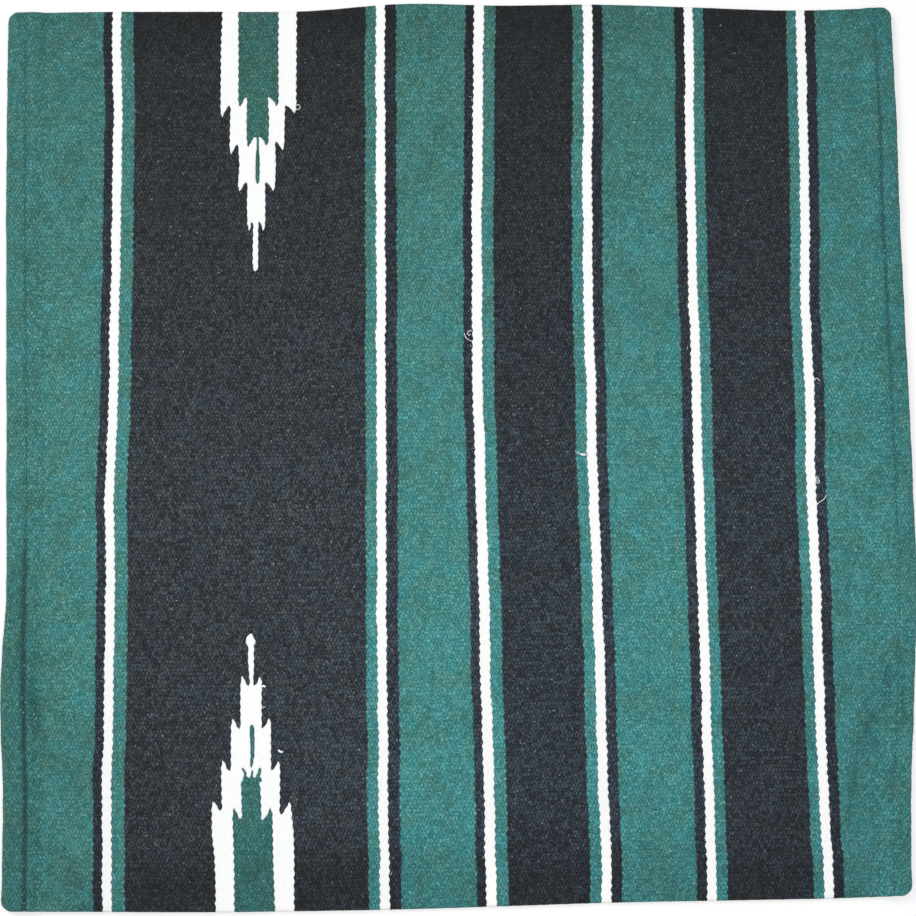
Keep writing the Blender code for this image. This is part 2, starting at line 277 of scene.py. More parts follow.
class ShapeSheet(NodeSheet):
    """The nodes of a new Geometry Nodes tree, which takes a mesh and gives back a mesh."""

    def __init__(self, name: str) -> None:
        """Begins the tree.

        Args:
            name: its name.
        """
        super().__init__(bpy.data.node_groups.new(name, "GeometryNodeTree"))
        self.tree.is_modifier = True
        (self.mesh,) = self.takes(GEOMETRY, "Geometry")

    def attribute(self, name: str) -> Value:
        """The value of an attribute of the mesh."""
        kind = "GeometryNodeInputNamedAttribute"
        return self.node(kind, {"Name": name}, data_type="FLOAT_VECTOR")[0]

    def lines(self) -> Value:
        """The lines of the mesh."""
        return self.node("GeometryNodeMeshToCurve", {"Mesh": self.mesh})[0]

    def arch(self, length: Value, crown: Value, foot: object, steps: int) -> Value:
        """A short arched line along X.

        Args:
            length: from end to end.
            crown: the point that pulls its middle.
            foot: the height of both ends.
            steps: how many parts it has.

        Returns:
            The line.
        """
        half = length * 0.5
        inputs = {"Resolution": steps, "Start": self.vector(half * -1, 0, foot), "Middle": crown}
        inputs["End"] = self.vector(half, 0, foot)
        return self.node("GeometryNodeCurveQuadraticBezier", inputs)[0]

    def tube(self, line: Value, radius: Value, sides: object) -> Value:
        """A round, closed tube.

        Args:
            line: the line or lines that it follows.
            radius: its radius.
            sides: how many sides it has.

        Returns:
            The tube.
        """
        ring = self.node("GeometryNodeCurvePrimitiveCircle", {"Resolution": sides, "Radius": radius})[0]
        inputs = {"Curve": line, "Profile Curve": ring, "Fill Caps": True}
        return self.node("GeometryNodeCurveToMesh", inputs)[0]

    def finish(self, shape: Value) -> NodeTree:
        """Ends the tree with real, smooth geometry and its material.

        Args:
            shape: the geometry so far.

        Returns:
            The tree.
        """
        for kind in ("GeometryNodeRealizeInstances", "GeometryNodeSetShadeSmooth"):
            shape = self.node(kind, {"Geometry": shape})[0]
        (material,) = self.takes(MATERIAL, "Material")
        inputs = {"Geometry": shape, "Material": material}
        return self.gives(GEOMETRY, {"Geometry": self.node("GeometryNodeSetMaterial", inputs)[0]})


@dataclass(frozen=True)
class WoolEffects:
    """Shader groups that the yarns share.

    The scales say how fine each kind of unevenness is, the streak's stretch how it runs from pick to pick
    and along them, the groove powers how narrow the grooves beside a float and a rib are, and the twist how
    the yarn turns along and across a float.

    Each falloff slope says how much painted shade the wool gains in the painted light falloff, for a metre
    of Y and in the middle: gently and then steeply in the upper half, at the lower end, and in the lower
    corners. The cooling is that along X, that along Y, and what the sides take off the latter.
    """

    pick_scale: float = 170
    rib_scale: float = 130
    fibre_scale: float = 1300
    fuzz_scale: float = 2600
    patch_scale: float = 30
    hue_scale: float = 60
    fleck_scale: float = 560
    ply_scale: float = 900
    rib_sway: float = 0.3
    streak_stretch: tuple[float, float] = (1.7, 0.11)
    groove_powers: tuple[float, float] = (1.8, 4)
    twist: tuple[float, float] = (9, 7)
    twist_height: float = 0.12
    hue_spread: float = 2.8
    fleck_edge: tuple[float, float] = (-2.4, 1.25)
    fleck_power: float = 1.2
    ply_share: float = 0.4
    fade_slopes: Points = ((2.75, 0.22), (8, -2.8), (-20, -6.4), (-7, -0.7))
    fade_limit: float = 1.2
    side_scale: float = 1.75
    fade_range: tuple[float, float] = (-0.5, 0.25)
    cooling: tuple[float, float, float] = (0.38, -0.65, -1.88)

    @cached_property
    def woven_yarn(self) -> NodeTree:
        """Floats of single yarns: how light each one is, painted shade in the grooves between them, and
        their twist.

        Returns:
            The group.
        """
        sheet = GroupSheet("woven_yarn")
        place, position = sheet.takes(VECTOR, "Place", "Position")
        names = ("Wander", "Float Spread", "Pick Spread", "Groove")
        wander, float_spread, pick_spread, depth = sheet.takes(NUMBER, *names)
        pick, across, face = sheet.parts(place)
        pick = sheet.noise(position, self.pick_scale, 2) * wander + pick
        rib = across.floor()
        swayed = sheet.noise(position, self.rib_scale, 1) * (wander * self.rib_sway) + across
        along = swayed.fraction() * 2 - 1
        moved = pick + rib + (face - 0.5)
        number = (moved * 0.5 + 0.5).floor()
        beside = moved - number * 2
        long, short = self.streak_stretch
        streak = sheet.noise(sheet.vector((number * 2 - rib) * long, across * short, face), 1, 1)
        shade = streak * pick_spread + sheet.by_chance(number, rib, face) * float_spread
        # The grooves beside each float and between ribs: they get painted shade, and they also sink the
        # bump.
        groove = (abs(beside) ** self.groove_powers[0]).at_least(abs(along) ** self.groove_powers[1])
        twist = (along * self.twist[0] + beside * self.twist[1]).sine()
        height = twist * self.twist_height + (1 - groove)
        # Shade is each float's own lightness times the painted shade in its grooves.
        return sheet.gives(NUMBER, {"Shade": (shade + 1) * (1 - groove * depth), "Height": height})

    @cached_property
    def heather(self) -> NodeTree:
        """Mixed fibres: fine mottling along the yarn, pale flecks, and fuzz for the bump.

        Returns:
            The group.
        """
        sheet = GroupSheet("heather")
        position, stretch = sheet.takes(VECTOR, "Position", "Stretch")
        fleck_share, contrast = sheet.takes(NUMBER, "Fleck Share", "Contrast")
        drawn = sheet.times(position, stretch)
        cells = sheet.node("ShaderNodeTexVoronoi", {"Vector": position, "Scale": self.fleck_scale})
        chance, strength, _ = sheet.parts(cells["Color"])
        near = cells["Distance"] * self.fleck_edge[0] + self.fleck_edge[1]
        results = {
            "Mottle": sheet.noise(drawn, self.fibre_scale, 1) * contrast + 0.5,
            "Patch": sheet.noise(position, self.patch_scale, 3),
            "Tint": sheet.noise(position, self.hue_scale, 3) * self.hue_spread + 0.5,
            "Fleck": chance.is_below(fleck_share) * strength**self.fleck_power * near,
            "Fuzz": sheet.noise(drawn, self.fuzz_scale, 2),
        }
        return sheet.gives(NUMBER, results)

    @cached_property
    def faded(self) -> NodeTree:
        """Painted light falloff: wool painted palest in the blanket's middle, with painted shade towards its
        ends and lower corners.

        The dye grows cooler towards the right and, between the borders, towards the lower end.

        Returns:
            The group.
        """
        sheet = GroupSheet("faded")
        (position,) = sheet.takes(VECTOR, "Position")
        (amount,) = sheet.takes(NUMBER, "Amount")
        x, y, _ = sheet.parts(position)
        falloffs = [(y * slope + middle).at_least(0) for slope, middle in self.fade_slopes]
        upper, lower_end, lower_corner = falloffs[0] + falloffs[1], falloffs[2].at_most(self.fade_limit), falloffs[3]
        across = x * self.side_scale
        sides = across * across
        reach = (sides * lower_corner + sides).at_least(upper.at_least(lower_end))
        depth, middle = self.fade_range
        cool_x, cool_y, cool_sides = self.cooling
        # Shade is the painted light falloff; Coolness is the dye's own drift in hue.
        results = {
            "Shade": (reach * depth + middle) * amount + 1,
            "Coolness": x * cool_x + y * cool_y * (sides * cool_sides + 1),
        }
        return sheet.gives(NUMBER, results)

    @cached_property
    def plied(self) -> NodeTree:
        """Twisted plies of a thin thread or cord: light and dark turns, as a shade and a height.

        Returns:
            The group.
        """
        sheet = GroupSheet("plied")
        (position,) = sheet.takes(VECTOR, "Position")
        turns, spread = sheet.takes(NUMBER, "Turns", "Spread")
        x, y, z = sheet.parts(position)
        turn = ((x + y + z) * turns).sine()
        mixed = turn * self.ply_share + sheet.noise(position, self.ply_scale, 2)
        return sheet.gives(NUMBER, {"Shade": mixed * spread + 1, "Height": turn})


@dataclass(frozen=True)
class WoolFinish:
    """Wool weft: two shades of fibre mixed in the yarn, flecks, and what each float and pick adds."""

    yarn: Yarn
    dark: Colour
    light: Colour
    fleck: Colour
    fleck_share: float
    float_spread: float
    pick_spread: float
    # How much painted shade lies in the grooves between floats.
    groove: float
    contrast: float
    patch_spread: float = 0.26
    cool: Colour = (0.84, 1.04, 1.13)
    warm: Colour = (1.15, 0.96, 0.87)
    # How strongly the painted light falloff shades this wool towards the ends; below nothing it paints the
    # ends lighter.
    fading: float = 0.4
    wander: float = 1.0
    stretch: Colour = (1.25, 0.42, 1.0)
    bump_depth: float = 0.0004
    roughness: float = 0.92
    gloss: float = 0.2
    sheen: float = 0.12
    sheen_roughness: float = 0.6
    fuzz_height: float = 0.5

    def material(self, effects: WoolEffects) -> Material:
        """Makes the material.

        Args:
            effects: the shader groups.

        Returns:
            The material, named after the yarn.
        """
        sheet = MaterialSheet(f"wool_{self.yarn.value}")
        inputs = {
            "Place": sheet.attribute("weave_place"),
            "Position": sheet.position,
            "Wander": self.wander,
            "Float Spread": self.float_spread,
            "Pick Spread": self.pick_spread,
            "Groove": self.groove,
        }
        woven = sheet.group(effects.woven_yarn, inputs)
        inputs = {"Position": sheet.position, "Stretch": self.stretch, "Fleck Share": self.fleck_share}
        fibres = sheet.group(effects.heather, inputs | {"Contrast": self.contrast})
        falloff = sheet.group(effects.faded, {"Position": sheet.position, "Amount": self.fading})
        # The floats' own lightness and the painted groove shade move the blend towards the dark fibre.
        light_share = woven["Shade"] - 1 + fibres["Mottle"]
        wool = sheet.blend(light_share, (*self.dark, 1), (*self.light, 1))
        hue = sheet.blend(fibres["Tint"] + falloff["Coolness"], (*self.warm, 1), (*self.cool, 1))
        # The 'dye' attribute holds each piece's own dye times the painted shade of hems, seams and creases.
        wool = sheet.times(sheet.times(wool, hue), sheet.attribute("dye"))
        wool = sheet.blend(fibres["Fleck"], wool, (*self.fleck, 1))
        # Random patches of the wool's own tone, plus the painted light falloff.
        patch_and_painted_falloff = fibres["Patch"] * (self.patch_spread * 2) + falloff["Shade"]
        inputs = {
            "Base Color": sheet.scaled(wool, patch_and_painted_falloff),
            "Normal": sheet.relief(fibres["Fuzz"] * self.fuzz_height + woven["Height"], self.bump_depth),
            "Roughness": self.roughness,
            "Specular IOR Level": self.gloss,
            "Sheen Weight": self.sheen,
            "Sheen Roughness": self.sheen_roughness,
        }
        return sheet.shade(inputs)


@dataclass(frozen=True)
class PliedFinish:
    """A twisted thread or cord of one colour."""

    yarn: Yarn
    name: str
    colour: Colour
    turns: float
    spread: float
    roughness: float
    gloss: float = 0.25
    bump_depth: float = 0.0001

    def material(self, effects: WoolEffects) -> Material:
        """Makes the material.

        Args:
            effects: the shader groups.

        Returns:
            The material.
        """
        sheet = MaterialSheet(self.name)
        inputs = {"Position": sheet.position, "Turns": self.turns, "Spread": self.spread}
        plies = sheet.group(effects.plied, inputs)
        inputs = {
            "Base Color": sheet.scaled(self.colour, plies["Shade"]),
            "Normal": sheet.relief(plies["Height"], self.bump_depth),
            "Roughness": self.roughness,
            "Specular IOR Level": self.gloss,
        }
        return sheet.shade(inputs)


FINISHES = (
    WoolFinish(
        Yarn.GREEN,
        dark=(0.015, 0.118, 0.109), light=(0.116, 0.354, 0.336), contrast=3.8,
        fleck=(0.34, 0.62, 0.58), fleck_share=0.07,
        float_spread=0.5, pick_spread=0.5, groove=0.48, wander=1.4,
    ),
    WoolFinish(
        Yarn.BLACK,
        dark=(0.0059, 0.0080, 0.0100), light=(0.0679, 0.0858, 0.1044), contrast=4.6,
        fleck=(0.25, 0.275, 0.285), fleck_share=0.03,
        float_spread=0.85, pick_spread=0.6, groove=0.68, wander=0.9,
        cool=(0.93, 0.99, 1.09), warm=(1.05, 1.01, 0.91), fading=1.1, patch_spread=0.17,
    ),
    WoolFinish(
        Yarn.WHITE,
        dark=(0.878, 0.888, 0.888), light=(0.951, 0.956, 0.951), contrast=1.0,
        fleck=(0.9, 0.9, 0.88), fleck_share=0.0,
        float_spread=0.03, pick_spread=0.04, groove=0.08,
        cool=(1.0, 1.0, 1.0), warm=(1.0, 1.0, 1.0), fading=-0.03, patch_spread=0.0,
    ),
    PliedFinish(Yarn.WARP, "cotton_warp", (0.62, 0.58, 0.5), 2600, 0.3, 0.85),
    PliedFinish(Yarn.THREAD, "hem_thread", (0.028, 0.095, 0.090), 5200, 0.4, 0.7),
)


@dataclass(frozen=True)
class ShapeTrees:
    """Geometry Nodes trees for what repeats over the cloth or along it."""

    stitch_steps: int = 6
    stitch_sides: int = 5
    fibre_sizes: tuple[float, float] = (0.5, 1.4)
    fibre_bend: float = 0.35
    fibre_steps: int = 4
    fibre_sides: int = 3
    half_turn: float = 3.1416

    @cached_property
    def woven_relief(self) -> NodeTree:
        """Ribs over the warp ends, and on each rib the floats of every second pick.

        Returns:
            The tree.
        """
        sheet = ShapeSheet("woven_relief")
        names = ("Rib Depth", "Float Depth", "Unevenness")
        rib_depth, float_depth, unevenness = sheet.takes(NUMBER, *names)
        (seed,) = sheet.takes(WHOLE, "Seed")
        pick, across, face = sheet.parts(sheet.attribute("weave_place"))
        rib = across.floor()
        dome = abs((across * math.pi).sine())
        moved = pick + rib + (face - 0.5)
        crest = (moved * math.pi).cosine()
        number = (moved * 0.5 + 0.5).floor()
        floats = (crest - 1) * 0.5 * float_depth
        uneven = sheet.by_chance(number, rib, seed) * unevenness
        depth = (dome - 1) * rib_depth + (floats + uneven) * dome
        inputs = {"Geometry": sheet.mesh, "Offset": sheet.scaled(sheet.attribute("outwards"), depth)}
        return sheet.finish(sheet.node("GeometryNodeSetPosition", inputs)[0])

    @cached_property
    def cords(self) -> NodeTree:
        """A round cord along every line of a mesh.

        Returns:
            The tree.
        """
        sheet = ShapeSheet("cords")
        (radius,) = sheet.takes(NUMBER, "Radius")
        (sides,) = sheet.takes(WHOLE, "Sides")
        return sheet.finish(sheet.tube(sheet.lines(), radius, sides))

    @cached_property
    def lock_stitches(self) -> NodeTree:
        """Lock stitches end to end along a line, each an arch with both ends in the cloth.

        Returns:
            The tree.
        """
        sheet = ShapeSheet("lock_stitches")
        names = ("Pitch", "Length", "Radius", "Rise", "Slant")
        pitch, length, radius, rise, slant = sheet.takes(NUMBER, *names)
        inputs = {"Curve": sheet.lines(), "Length": pitch}
        spots = sheet.node("GeometryNodeCurveToPoints", inputs, mode="LENGTH")
        inputs = {"Vector": spots["Tangent"]}
        turn = sheet.node("FunctionNodeAlignRotationToVector", inputs, axis="X", pivot_axis="Z")[0]
        arch = sheet.arch(length, sheet.vector(0, 0, rise), rise * -1, self.stitch_steps)
        stitch = sheet.tube(arch, radius, self.stitch_sides)
        inputs = {"Points": spots["Points"], "Instance": stitch, "Rotation": turn}
        placed = sheet.node("GeometryNodeInstanceOnPoints", inputs)[0]
        inputs = {"Instances": placed, "Rotation": sheet.vector(0, 0, slant)}
        return sheet.finish(sheet.node("GeometryNodeRotateInstances", inputs)[0])

    @cached_property
    def stray_fibres(self) -> NodeTree:
        """Short bent fibres, strewn over a surface and lying on it.

        Returns:
            The tree.
        """
        sheet = ShapeSheet("stray_fibres")
        density, length, radius, lean = sheet.takes(NUMBER, "Density", "Length", "Radius", "Lean")
        (seed,) = sheet.takes(WHOLE, "Seed")
        inputs = {"Mesh": sheet.mesh, "Density": density, "Seed": seed}
        spots = sheet.node("GeometryNodeDistributePointsOnFaces", inputs)[0]
        inputs = {
            "Min": sheet.vector(lean * -1, lean * -1, -self.half_turn),
            "Max": sheet.vector(lean, lean, self.half_turn),
            "Seed": seed,
        }
        turn = sheet.node("FunctionNodeRandomValue", inputs, data_type="FLOAT_VECTOR")[0]
        inputs = {2: self.fibre_sizes[0], 3: self.fibre_sizes[1], "Seed": seed}
        size = sheet.node("FunctionNodeRandomValue", inputs, data_type="FLOAT")[1]
        bend = length * self.fibre_bend
        fibre = sheet.arch(length, sheet.vector(0, bend, bend * 0.5), 0, self.fibre_steps)
        hair = sheet.tube(fibre, radius, self.fibre_sides)
        inputs = {"Points": spots, "Instance": hair, "Rotation": turn, "Scale": size}
        return sheet.finish(sheet.node("GeometryNodeInstanceOnPoints", inputs)[0])


def quad_mesh(name: str, points: Array, quads: Array) -> Mesh:
    """Makes a mesh of four-sided faces.

    Args:
        name: the mesh's name.
        points: its points, one row each.
        quads: four numbers of points for each face.

    Returns:
        The mesh.
    """
    mesh = bpy.data.meshes.new(name)
    mesh.vertices.add(len(points))
    mesh.vertices.foreach_set("co", np.ascontiguousarray(points, np.float32).ravel())
    mesh.loops.add(quads.size)
    mesh.loops.foreach_set("vertex_index", np.ascontiguousarray(quads, np.int32).ravel())
    mesh.polygons.add(len(quads))
    mesh.polygons.foreach_set("loop_start", np.arange(0, quads.size, 4, dtype=np.int32))
    mesh.update(calc_edges=True)
    return mesh


def line_mesh(name: str, lines: Iterable[Array]) -> Mesh:
    """Makes a mesh of separate lines.

    Args:
        name: the mesh's name.
        lines: the points of each line, one row each.

    Returns:
        The mesh.
    """
    mesh = bpy.data.meshes.new(name)
    points, edges = [], []
    for line in lines:
        edges += [(len(points) + i, len(points) + i + 1) for i in range(len(line) - 1)]
        points += line.tolist()
    mesh.from_pydata(points, edges, [])
    return mesh


def write_vectors(mesh: Mesh, name: str, values: Array) -> None:
    """Stores a vector at each point of a mesh.

    Args:
        mesh: the mesh.
        name: the attribute, which is made if the mesh hasn't got it.
        values: the vectors, one row each.
    """
    made = mesh.attributes.get(name) or mesh.attributes.new(name, "FLOAT_VECTOR", "POINT")
    made.data.foreach_set("vector", np.ascontiguousarray(values, np.float32).ravel())


def read_vectors(mesh: Mesh, name: str) -> Array:
    """Reads the vectors that write_vectors stored.

    Args:
        mesh: the mesh.
        name: the attribute.

    Returns:
        The vectors, one row each.
    """
    values = np.zeros(3 * len(mesh.vertices), np.float32)
    mesh.attributes[name].data.foreach_get("vector", values)
    return values.reshape(-1, 3)


def new_object(name: str, data: ID) -> Object:
    """Puts a mesh, a lamp or a camera in the scene.

    Args:
        name: the object's name.
        data: what it shows.

    Returns:
        The object, at the origin.
    """
    made = bpy.data.objects.new(name, data)
    bpy.context.scene.collection.objects.link(made)
    return made


def grow(piece: Object, tree: NodeTree, values: dict[str, object]) -> None:
    """Runs a piece's mesh through a tree, and any modifiers after it, and keeps the plain result.

    Args:
        piece: the object, whose mesh the tree takes.
        tree: the Geometry Nodes tree.
        values: the tree's inputs, by name.
    """
    modifier = piece.modifiers.new(tree.name, "NODES")
    modifier.node_group = tree
    piece.modifiers.move(len(piece.modifiers) - 1, 0)
    for item in tree.interface.items_tree:
        if item.item_type == "SOCKET" and item.in_out == "INPUT" and item.name in values:
            modifier[item.identifier] = values[item.name]
    graph = bpy.context.evaluated_depsgraph_get()
    source = piece.evaluated_get(graph)
    shaped = bpy.data.meshes.new_from_object(source, preserve_all_data_layers=True, depsgraph=graph)
    piece.modifiers.clear()
    shaped.name = piece.name
    piece.data = shaped
    if "outwards" in shaped.attributes:
        shaped.attributes.remove(shaped.attributes["outwards"])


def eased(share: Array) -> Array:
    """A share from 0 to 1 that starts and stops gently."""
    return share**2 * (3 - 2 * share)


def smooth_share(shares: Shares, place: Array) -> Array:
    """Reads a smooth curve through evenly spaced shares.

    Args:
        shares: the curve's values.
        place: places on it, from -1 to 1.

    Returns:
        The values there.
    """
    spans = len(shares) - 1
    along = (np.clip(place, -1, 1) + 1) / 2 * spans
    first = np.clip(along.astype(int), 0, spans - 1)
    t = along - first
    values = np.asarray(shares)
    a, b = values[first], values[first + 1]
    before = values[np.maximum(first - 1, 0)]
    after = values[np.minimum(first + 2, spans)]
    bend = 2 * before - 5 * a + 4 * b - after
    twist = 3 * a - before - 3 * b + after
    return a + ((b - before) * t + bend * t**2 + twist * t**3) / 2


@dataclass(frozen=True)
class Ripple:
    """A low swelling or crease in the cloth, with painted shade on its wool where the crease shuts light
    out; painted shade below nothing is painted light.
    """

    x: float
    y: float
    half_length: float
    half_width: float
    turn: float
    height: float
    dullness: float = 0.0

    def nearness(self, x: Array, y: Array) -> Array:
        """How much a place belongs to it.

        Args:
            x: the places along the warp.
            y: the places along the weft.

        Returns:
            1 in its middle, and falling to nothing away from it.
        """
        across, along = x - self.x, y - self.y
        c, s = math.cos(self.turn), math.sin(self.turn)
        long_way = (across * c + along * s) / self.half_length
        short_way = (along * c - across * s) / self.half_width
        return np.exp(-(long_way**2) - short_way**2)


@dataclass
class Columns:
    """Lines of picks, side by side in the order of the cloth, each from selvedge to selvedge.

    The heights and facings are those of the cloth's middle, half is half its thickness, trim is what round
    corners take off each end, and the presses say how much of the weave's relief is left on each side. The
    x, sink and tone have a value for each row; the tone is the brightness left by the painted shade over the
    hems.
    """

    x: Array
    pick: Array
    height: Array
    facing: Array
    half: Array
    trim: Array
    press_face: Array
    press_back: Array
    sink: Array
    tone: Array

    @staticmethod
    def join(parts: Iterable["Columns"]) -> "Columns":
        """Puts sets of columns one after the other."""
        together = zip(*([getattr(part, each.name) for each in fields(part)] for part in parts))
        return Columns(*(np.concatenate(values) for values in together))

    def take(self, chosen: Array | slice) -> "Columns":
        """Some of the columns, in the order in which they are chosen."""
        return Columns(*(getattr(self, each.name)[chosen] for each in fields(self)))


@dataclass(frozen=True)
class ClothPlan:
    """Sizes of the whole cloth, and the lines that its pieces share.

    The lines are shares of the three strays at even steps, from the lower selvedge to the upper one, or from
    left to right. The stripes' widths are those of the three in each group, from left to right.
    """

    field_lengths: Shares = (0.096, 0.243, 0.091, 0.102, 0.094, 0.103, 0.084)
    width: float = 0.813
    thick: float = 0.005
    edge_stray: float = 0.005
    selvedge_stray: float = 0.0045
    stripe_stray: float = 0.003
    rib_count: int = 224
    rib_spread: float = 0.14
    rib_seed: int = 11
    tooth_seed: int = 500
    edge_seed: int = 70
    stripe_seed: int = 100
    pick_pitch: float = 0.0016
    tooth_height: float = 0.0007
    tooth_spread: tuple[float, float] = (0.5, 1.25)
    wander_height: float = 0.0004
    wander_waves: tuple[int, ...] = (6, 10, 17, 29)
    single_wander: float = 0.5
    turn_steps: int = 5
    rib_depth: float = 0.0007
    float_depth: float = 0.0005
    unevenness: float = 0.0005
    back_press: float = 0.8
    selvedge_smoothness: float = 0.6
    # How the painted shade of hems, seams and creases is tinted: one power each for red, green and blue.
    deepening: Colour = (1.12, 0.97, 0.93)

    left_edge: Shares = (-1.1, -1.1, -0.25, -0.95, -0.7, -0.35, 0.0, 0.35, 0.55, 0.6)
    right_edge: Shares = (-2.18, -1.53, -0.22, 0.95, 0.98, 0.92, 0.72, 0.66, 0.79, 0.54)
    lower_selvedge: Shares = (-0.09, 0.16, 0.5, 0.56, 0.46, 0.11, -0.25, -0.35, -0.45, -0.8)
    upper_selvedge: Shares = (-0.05, 0.13, 0.03, 0.05, 1.48, 1.02, 1.1, 0.38, -0.38, 0.0)
    stripes: tuple[Shares, ...] = (
        (0.45, 0.1, 0.25, 0.4, -0.15, 0.55, 0.7, 0.9, 0.85, 0.2),
        (0.2, -0.1, -0.15, -0.3, -0.05, -0.05, 0.1, 0.2, 0.3, 0.45),
        (0.8, 0.65, 0.1, -0.2, -0.7, -1.2, -1.1, -0.7, 0.0, 0.55),
        (0.7, 0.25, -0.1, -0.35, -0.95, -1.1, -1.3, -1.0, -0.15, 0.4),
        (0.1, -0.05, -0.2, -0.35, -0.6, -0.5, -0.65, -0.6, -0.2, 0.3),
        (0.0, -0.55, -0.85, -0.7, -1.1, -0.6, -0.9, 0.1, 0.4, 0.75),
    )
    stripe_widths: tuple[tuple[float, float, float], ...] = (
        (0.0079, 0.0082, 0.0114),
        (0.0098, 0.0084, 0.0104),
        (0.0079, 0.0092, 0.0106),
        (0.0099, 0.0087, 0.0093),
        (0.0090, 0.0084, 0.0096),
        (0.0092, 0.0085, 0.0091),
    )
    # The seventh number of a ripple, where given, is its painted shade in creases and corners; below nothing
    # it is painted light.
    ripples: tuple[Ripple, ...] = (
        Ripple(0.366, -0.208, 0.030, 0.008, 1.45, 0.0018),
        Ripple(0.386, -0.256, 0.032, 0.007, 1.3, 0.0018),
        Ripple(0.349, -0.262, 0.030, 0.009, 1.1, 0.0015),
        Ripple(0.3802, -0.2156, 0.019, 0.004, 1.51, -0.0006, 0.36),
        Ripple(0.3650, -0.2520, 0.023, 0.005, 1.00, -0.0006, 0.28),
        Ripple(0.3665, -0.2695, 0.006, 0.006, 0.00, 0.0, 0.17),
        Ripple(0.3483, -0.3003, 0.030, 0.005, 1.41, -0.0004, 0.25),
        Ripple(0.3925, -0.2223, 0.022, 0.003, 1.51, -0.0003, 0.26),
        Ripple(0.3857, -0.3414, 0.012, 0.003, 1.49, -0.0003, 0.26),
        Ripple(0.3700, -0.2480, 0.050, 0.020, 1.40, 0.0, 0.05),
        Ripple(0.3430, -0.4040, 0.012, 0.008, 3.13, 0.0, 0.35),
        Ripple(0.3640, -0.4070, 0.010, 0.004, 3.13, 0.0, 0.25),
        Ripple(-0.3703, -0.2425, 0.038, 0.0036, 1.835, -0.0008, 0.20),
        Ripple(-0.3645, -0.2650, 0.018, 0.003, 1.835, 0.0, 0.16),
        Ripple(-0.3775, -0.2375, 0.018, 0.005, 1.80, 0.0, 0.13),
        Ripple(-0.3788, -0.2164, 0.006, 0.004, 1.80, 0.0, 0.22),
        Ripple(-0.3300, -0.4070, 0.012, 0.006, 3.13, 0.0, 0.35),
        Ripple(-0.3360, -0.3850, 0.010, 0.008, 1.57, 0.0, 0.14),
        Ripple(0.0760, -0.3940, 0.037, 0.036, 0.00, 0.0, -0.30),
        Ripple(0.0760, 0.3950, 0.036, 0.050, 0.00, 0.0, -0.10),
        Ripple(-0.330, 0.366, 0.022, 0.008, 0.3, 0.0010),
        Ripple(-0.355, -0.220, 0.110, 0.012, 1.6, 0.0012),
        Ripple(0.120, 0.180, 0.150, 0.050, 0.8, 0.0007),
        Ripple(-0.150, -0.060, 0.160, 0.060, 0.2, 0.0007),
    )

    @cached_property
    def half_length(self) -> float:
        """Half the mean length along the warp."""
        return sum(self.field_lengths) / 2

    @cached_property
    def ribs(self) -> Array:
        """The rib number at each row of points: whole numbers lie between ribs, halves on their crests."""
        return np.arange(2 * self.rib_count + 1) / 2

    @cached_property
    def places(self) -> Array:
        """The rows' places, as unevenly spread as a loom is warped.

        Returns:
            The place of each row, from -1 at the lower selvedge to 1.
        """
        spread = np.random.default_rng(self.rib_seed).uniform(-0.5, 0.5, self.rib_count)
        joins = np.concatenate([[0], np.cumsum(1 + self.rib_spread * spread)])
        return np.interp(self.ribs, np.arange(self.rib_count + 1), joins / joins[-1] * 2 - 1)

    @cached_property
    def spots(self) -> Array:
        """Each row's share of the way from the lower selvedge to the upper one."""
        return (self.places + 1) / 2

    def wander(self, seed: int) -> Array:
        """A slow unsteadiness from row to row, for one line of the cloth.

        Args:
            seed: what makes the line its own.

        Returns:
            The shift along X of each row.
        """
        phases = np.random.default_rng(seed).uniform(0, 2 * math.pi, len(self.wander_waves))
        waves = (np.sin(math.pi * k * self.places + phase) for k, phase in zip(self.wander_waves, phases))
        return self.wander_height * sum(waves) / 2

    def teeth(self, pick: int) -> Array:
        """How the join of two colours moves from rib to rib, as their picks take turns on top.

        Args:
            pick: the number of the first pick after the join.

        Returns:
            The shift along X of each row.
        """
        size = np.random.default_rng(self.tooth_seed + pick).uniform(*self.tooth_spread, self.rib_count)
        turns = np.where((pick - 1 + np.arange(self.rib_count)) % 2 == 0, 1, -1)
        shift = np.zeros(len(self.ribs))
        shift[1::2] = self.tooth_height * size * turns
        return shift

    def selvedge(self, x: Array, side: Side) -> Array:
        """Follows a selvedge.

        Args:
            x: places along the warp.
            side: the lower or the upper selvedge.

        Returns:
            Its y at each place.
        """
        shares = self.upper_selvedge if side is Side.HIGH else self.lower_selvedge
        stray = self.selvedge_stray * smooth_share(shares, x / self.half_length)
        return side.value * (self.width / 2 + stray)

    def lift(self, x: Array, y: Array) -> Array:
        """How far the cloth lies above the floor, over its low swellings."""
        return sum(ripple.height * ripple.nearness(x, y) for ripple in self.ripples)

    def brightness(self, x: Array, y: Array) -> Array:
        """How bright the wool is painted at each point, after the painted shade of its creases and the
        painted light of ripples whose painted shade is below nothing.
        """
        return math.prod(1 - ripple.dullness * ripple.nearness(x, y) for ripple in self.ripples)

    def edge_line(self, side: Side, inset: float | Array) -> Array:
        """Follows the edge of a hem.

        Args:
            side: the left or the right hem.
            inset: the distance inside its edge, the same for all rows or one for each.

        Returns:
            The x of each row.
        """
        shares = self.right_edge if side is Side.HIGH else self.left_edge
        unsteady = self.wander(self.edge_seed + side.value) * self.single_wander
        stray = self.edge_stray * smooth_share(shares, self.places) + unsteady
        return side.value * (self.half_length - inset + stray)

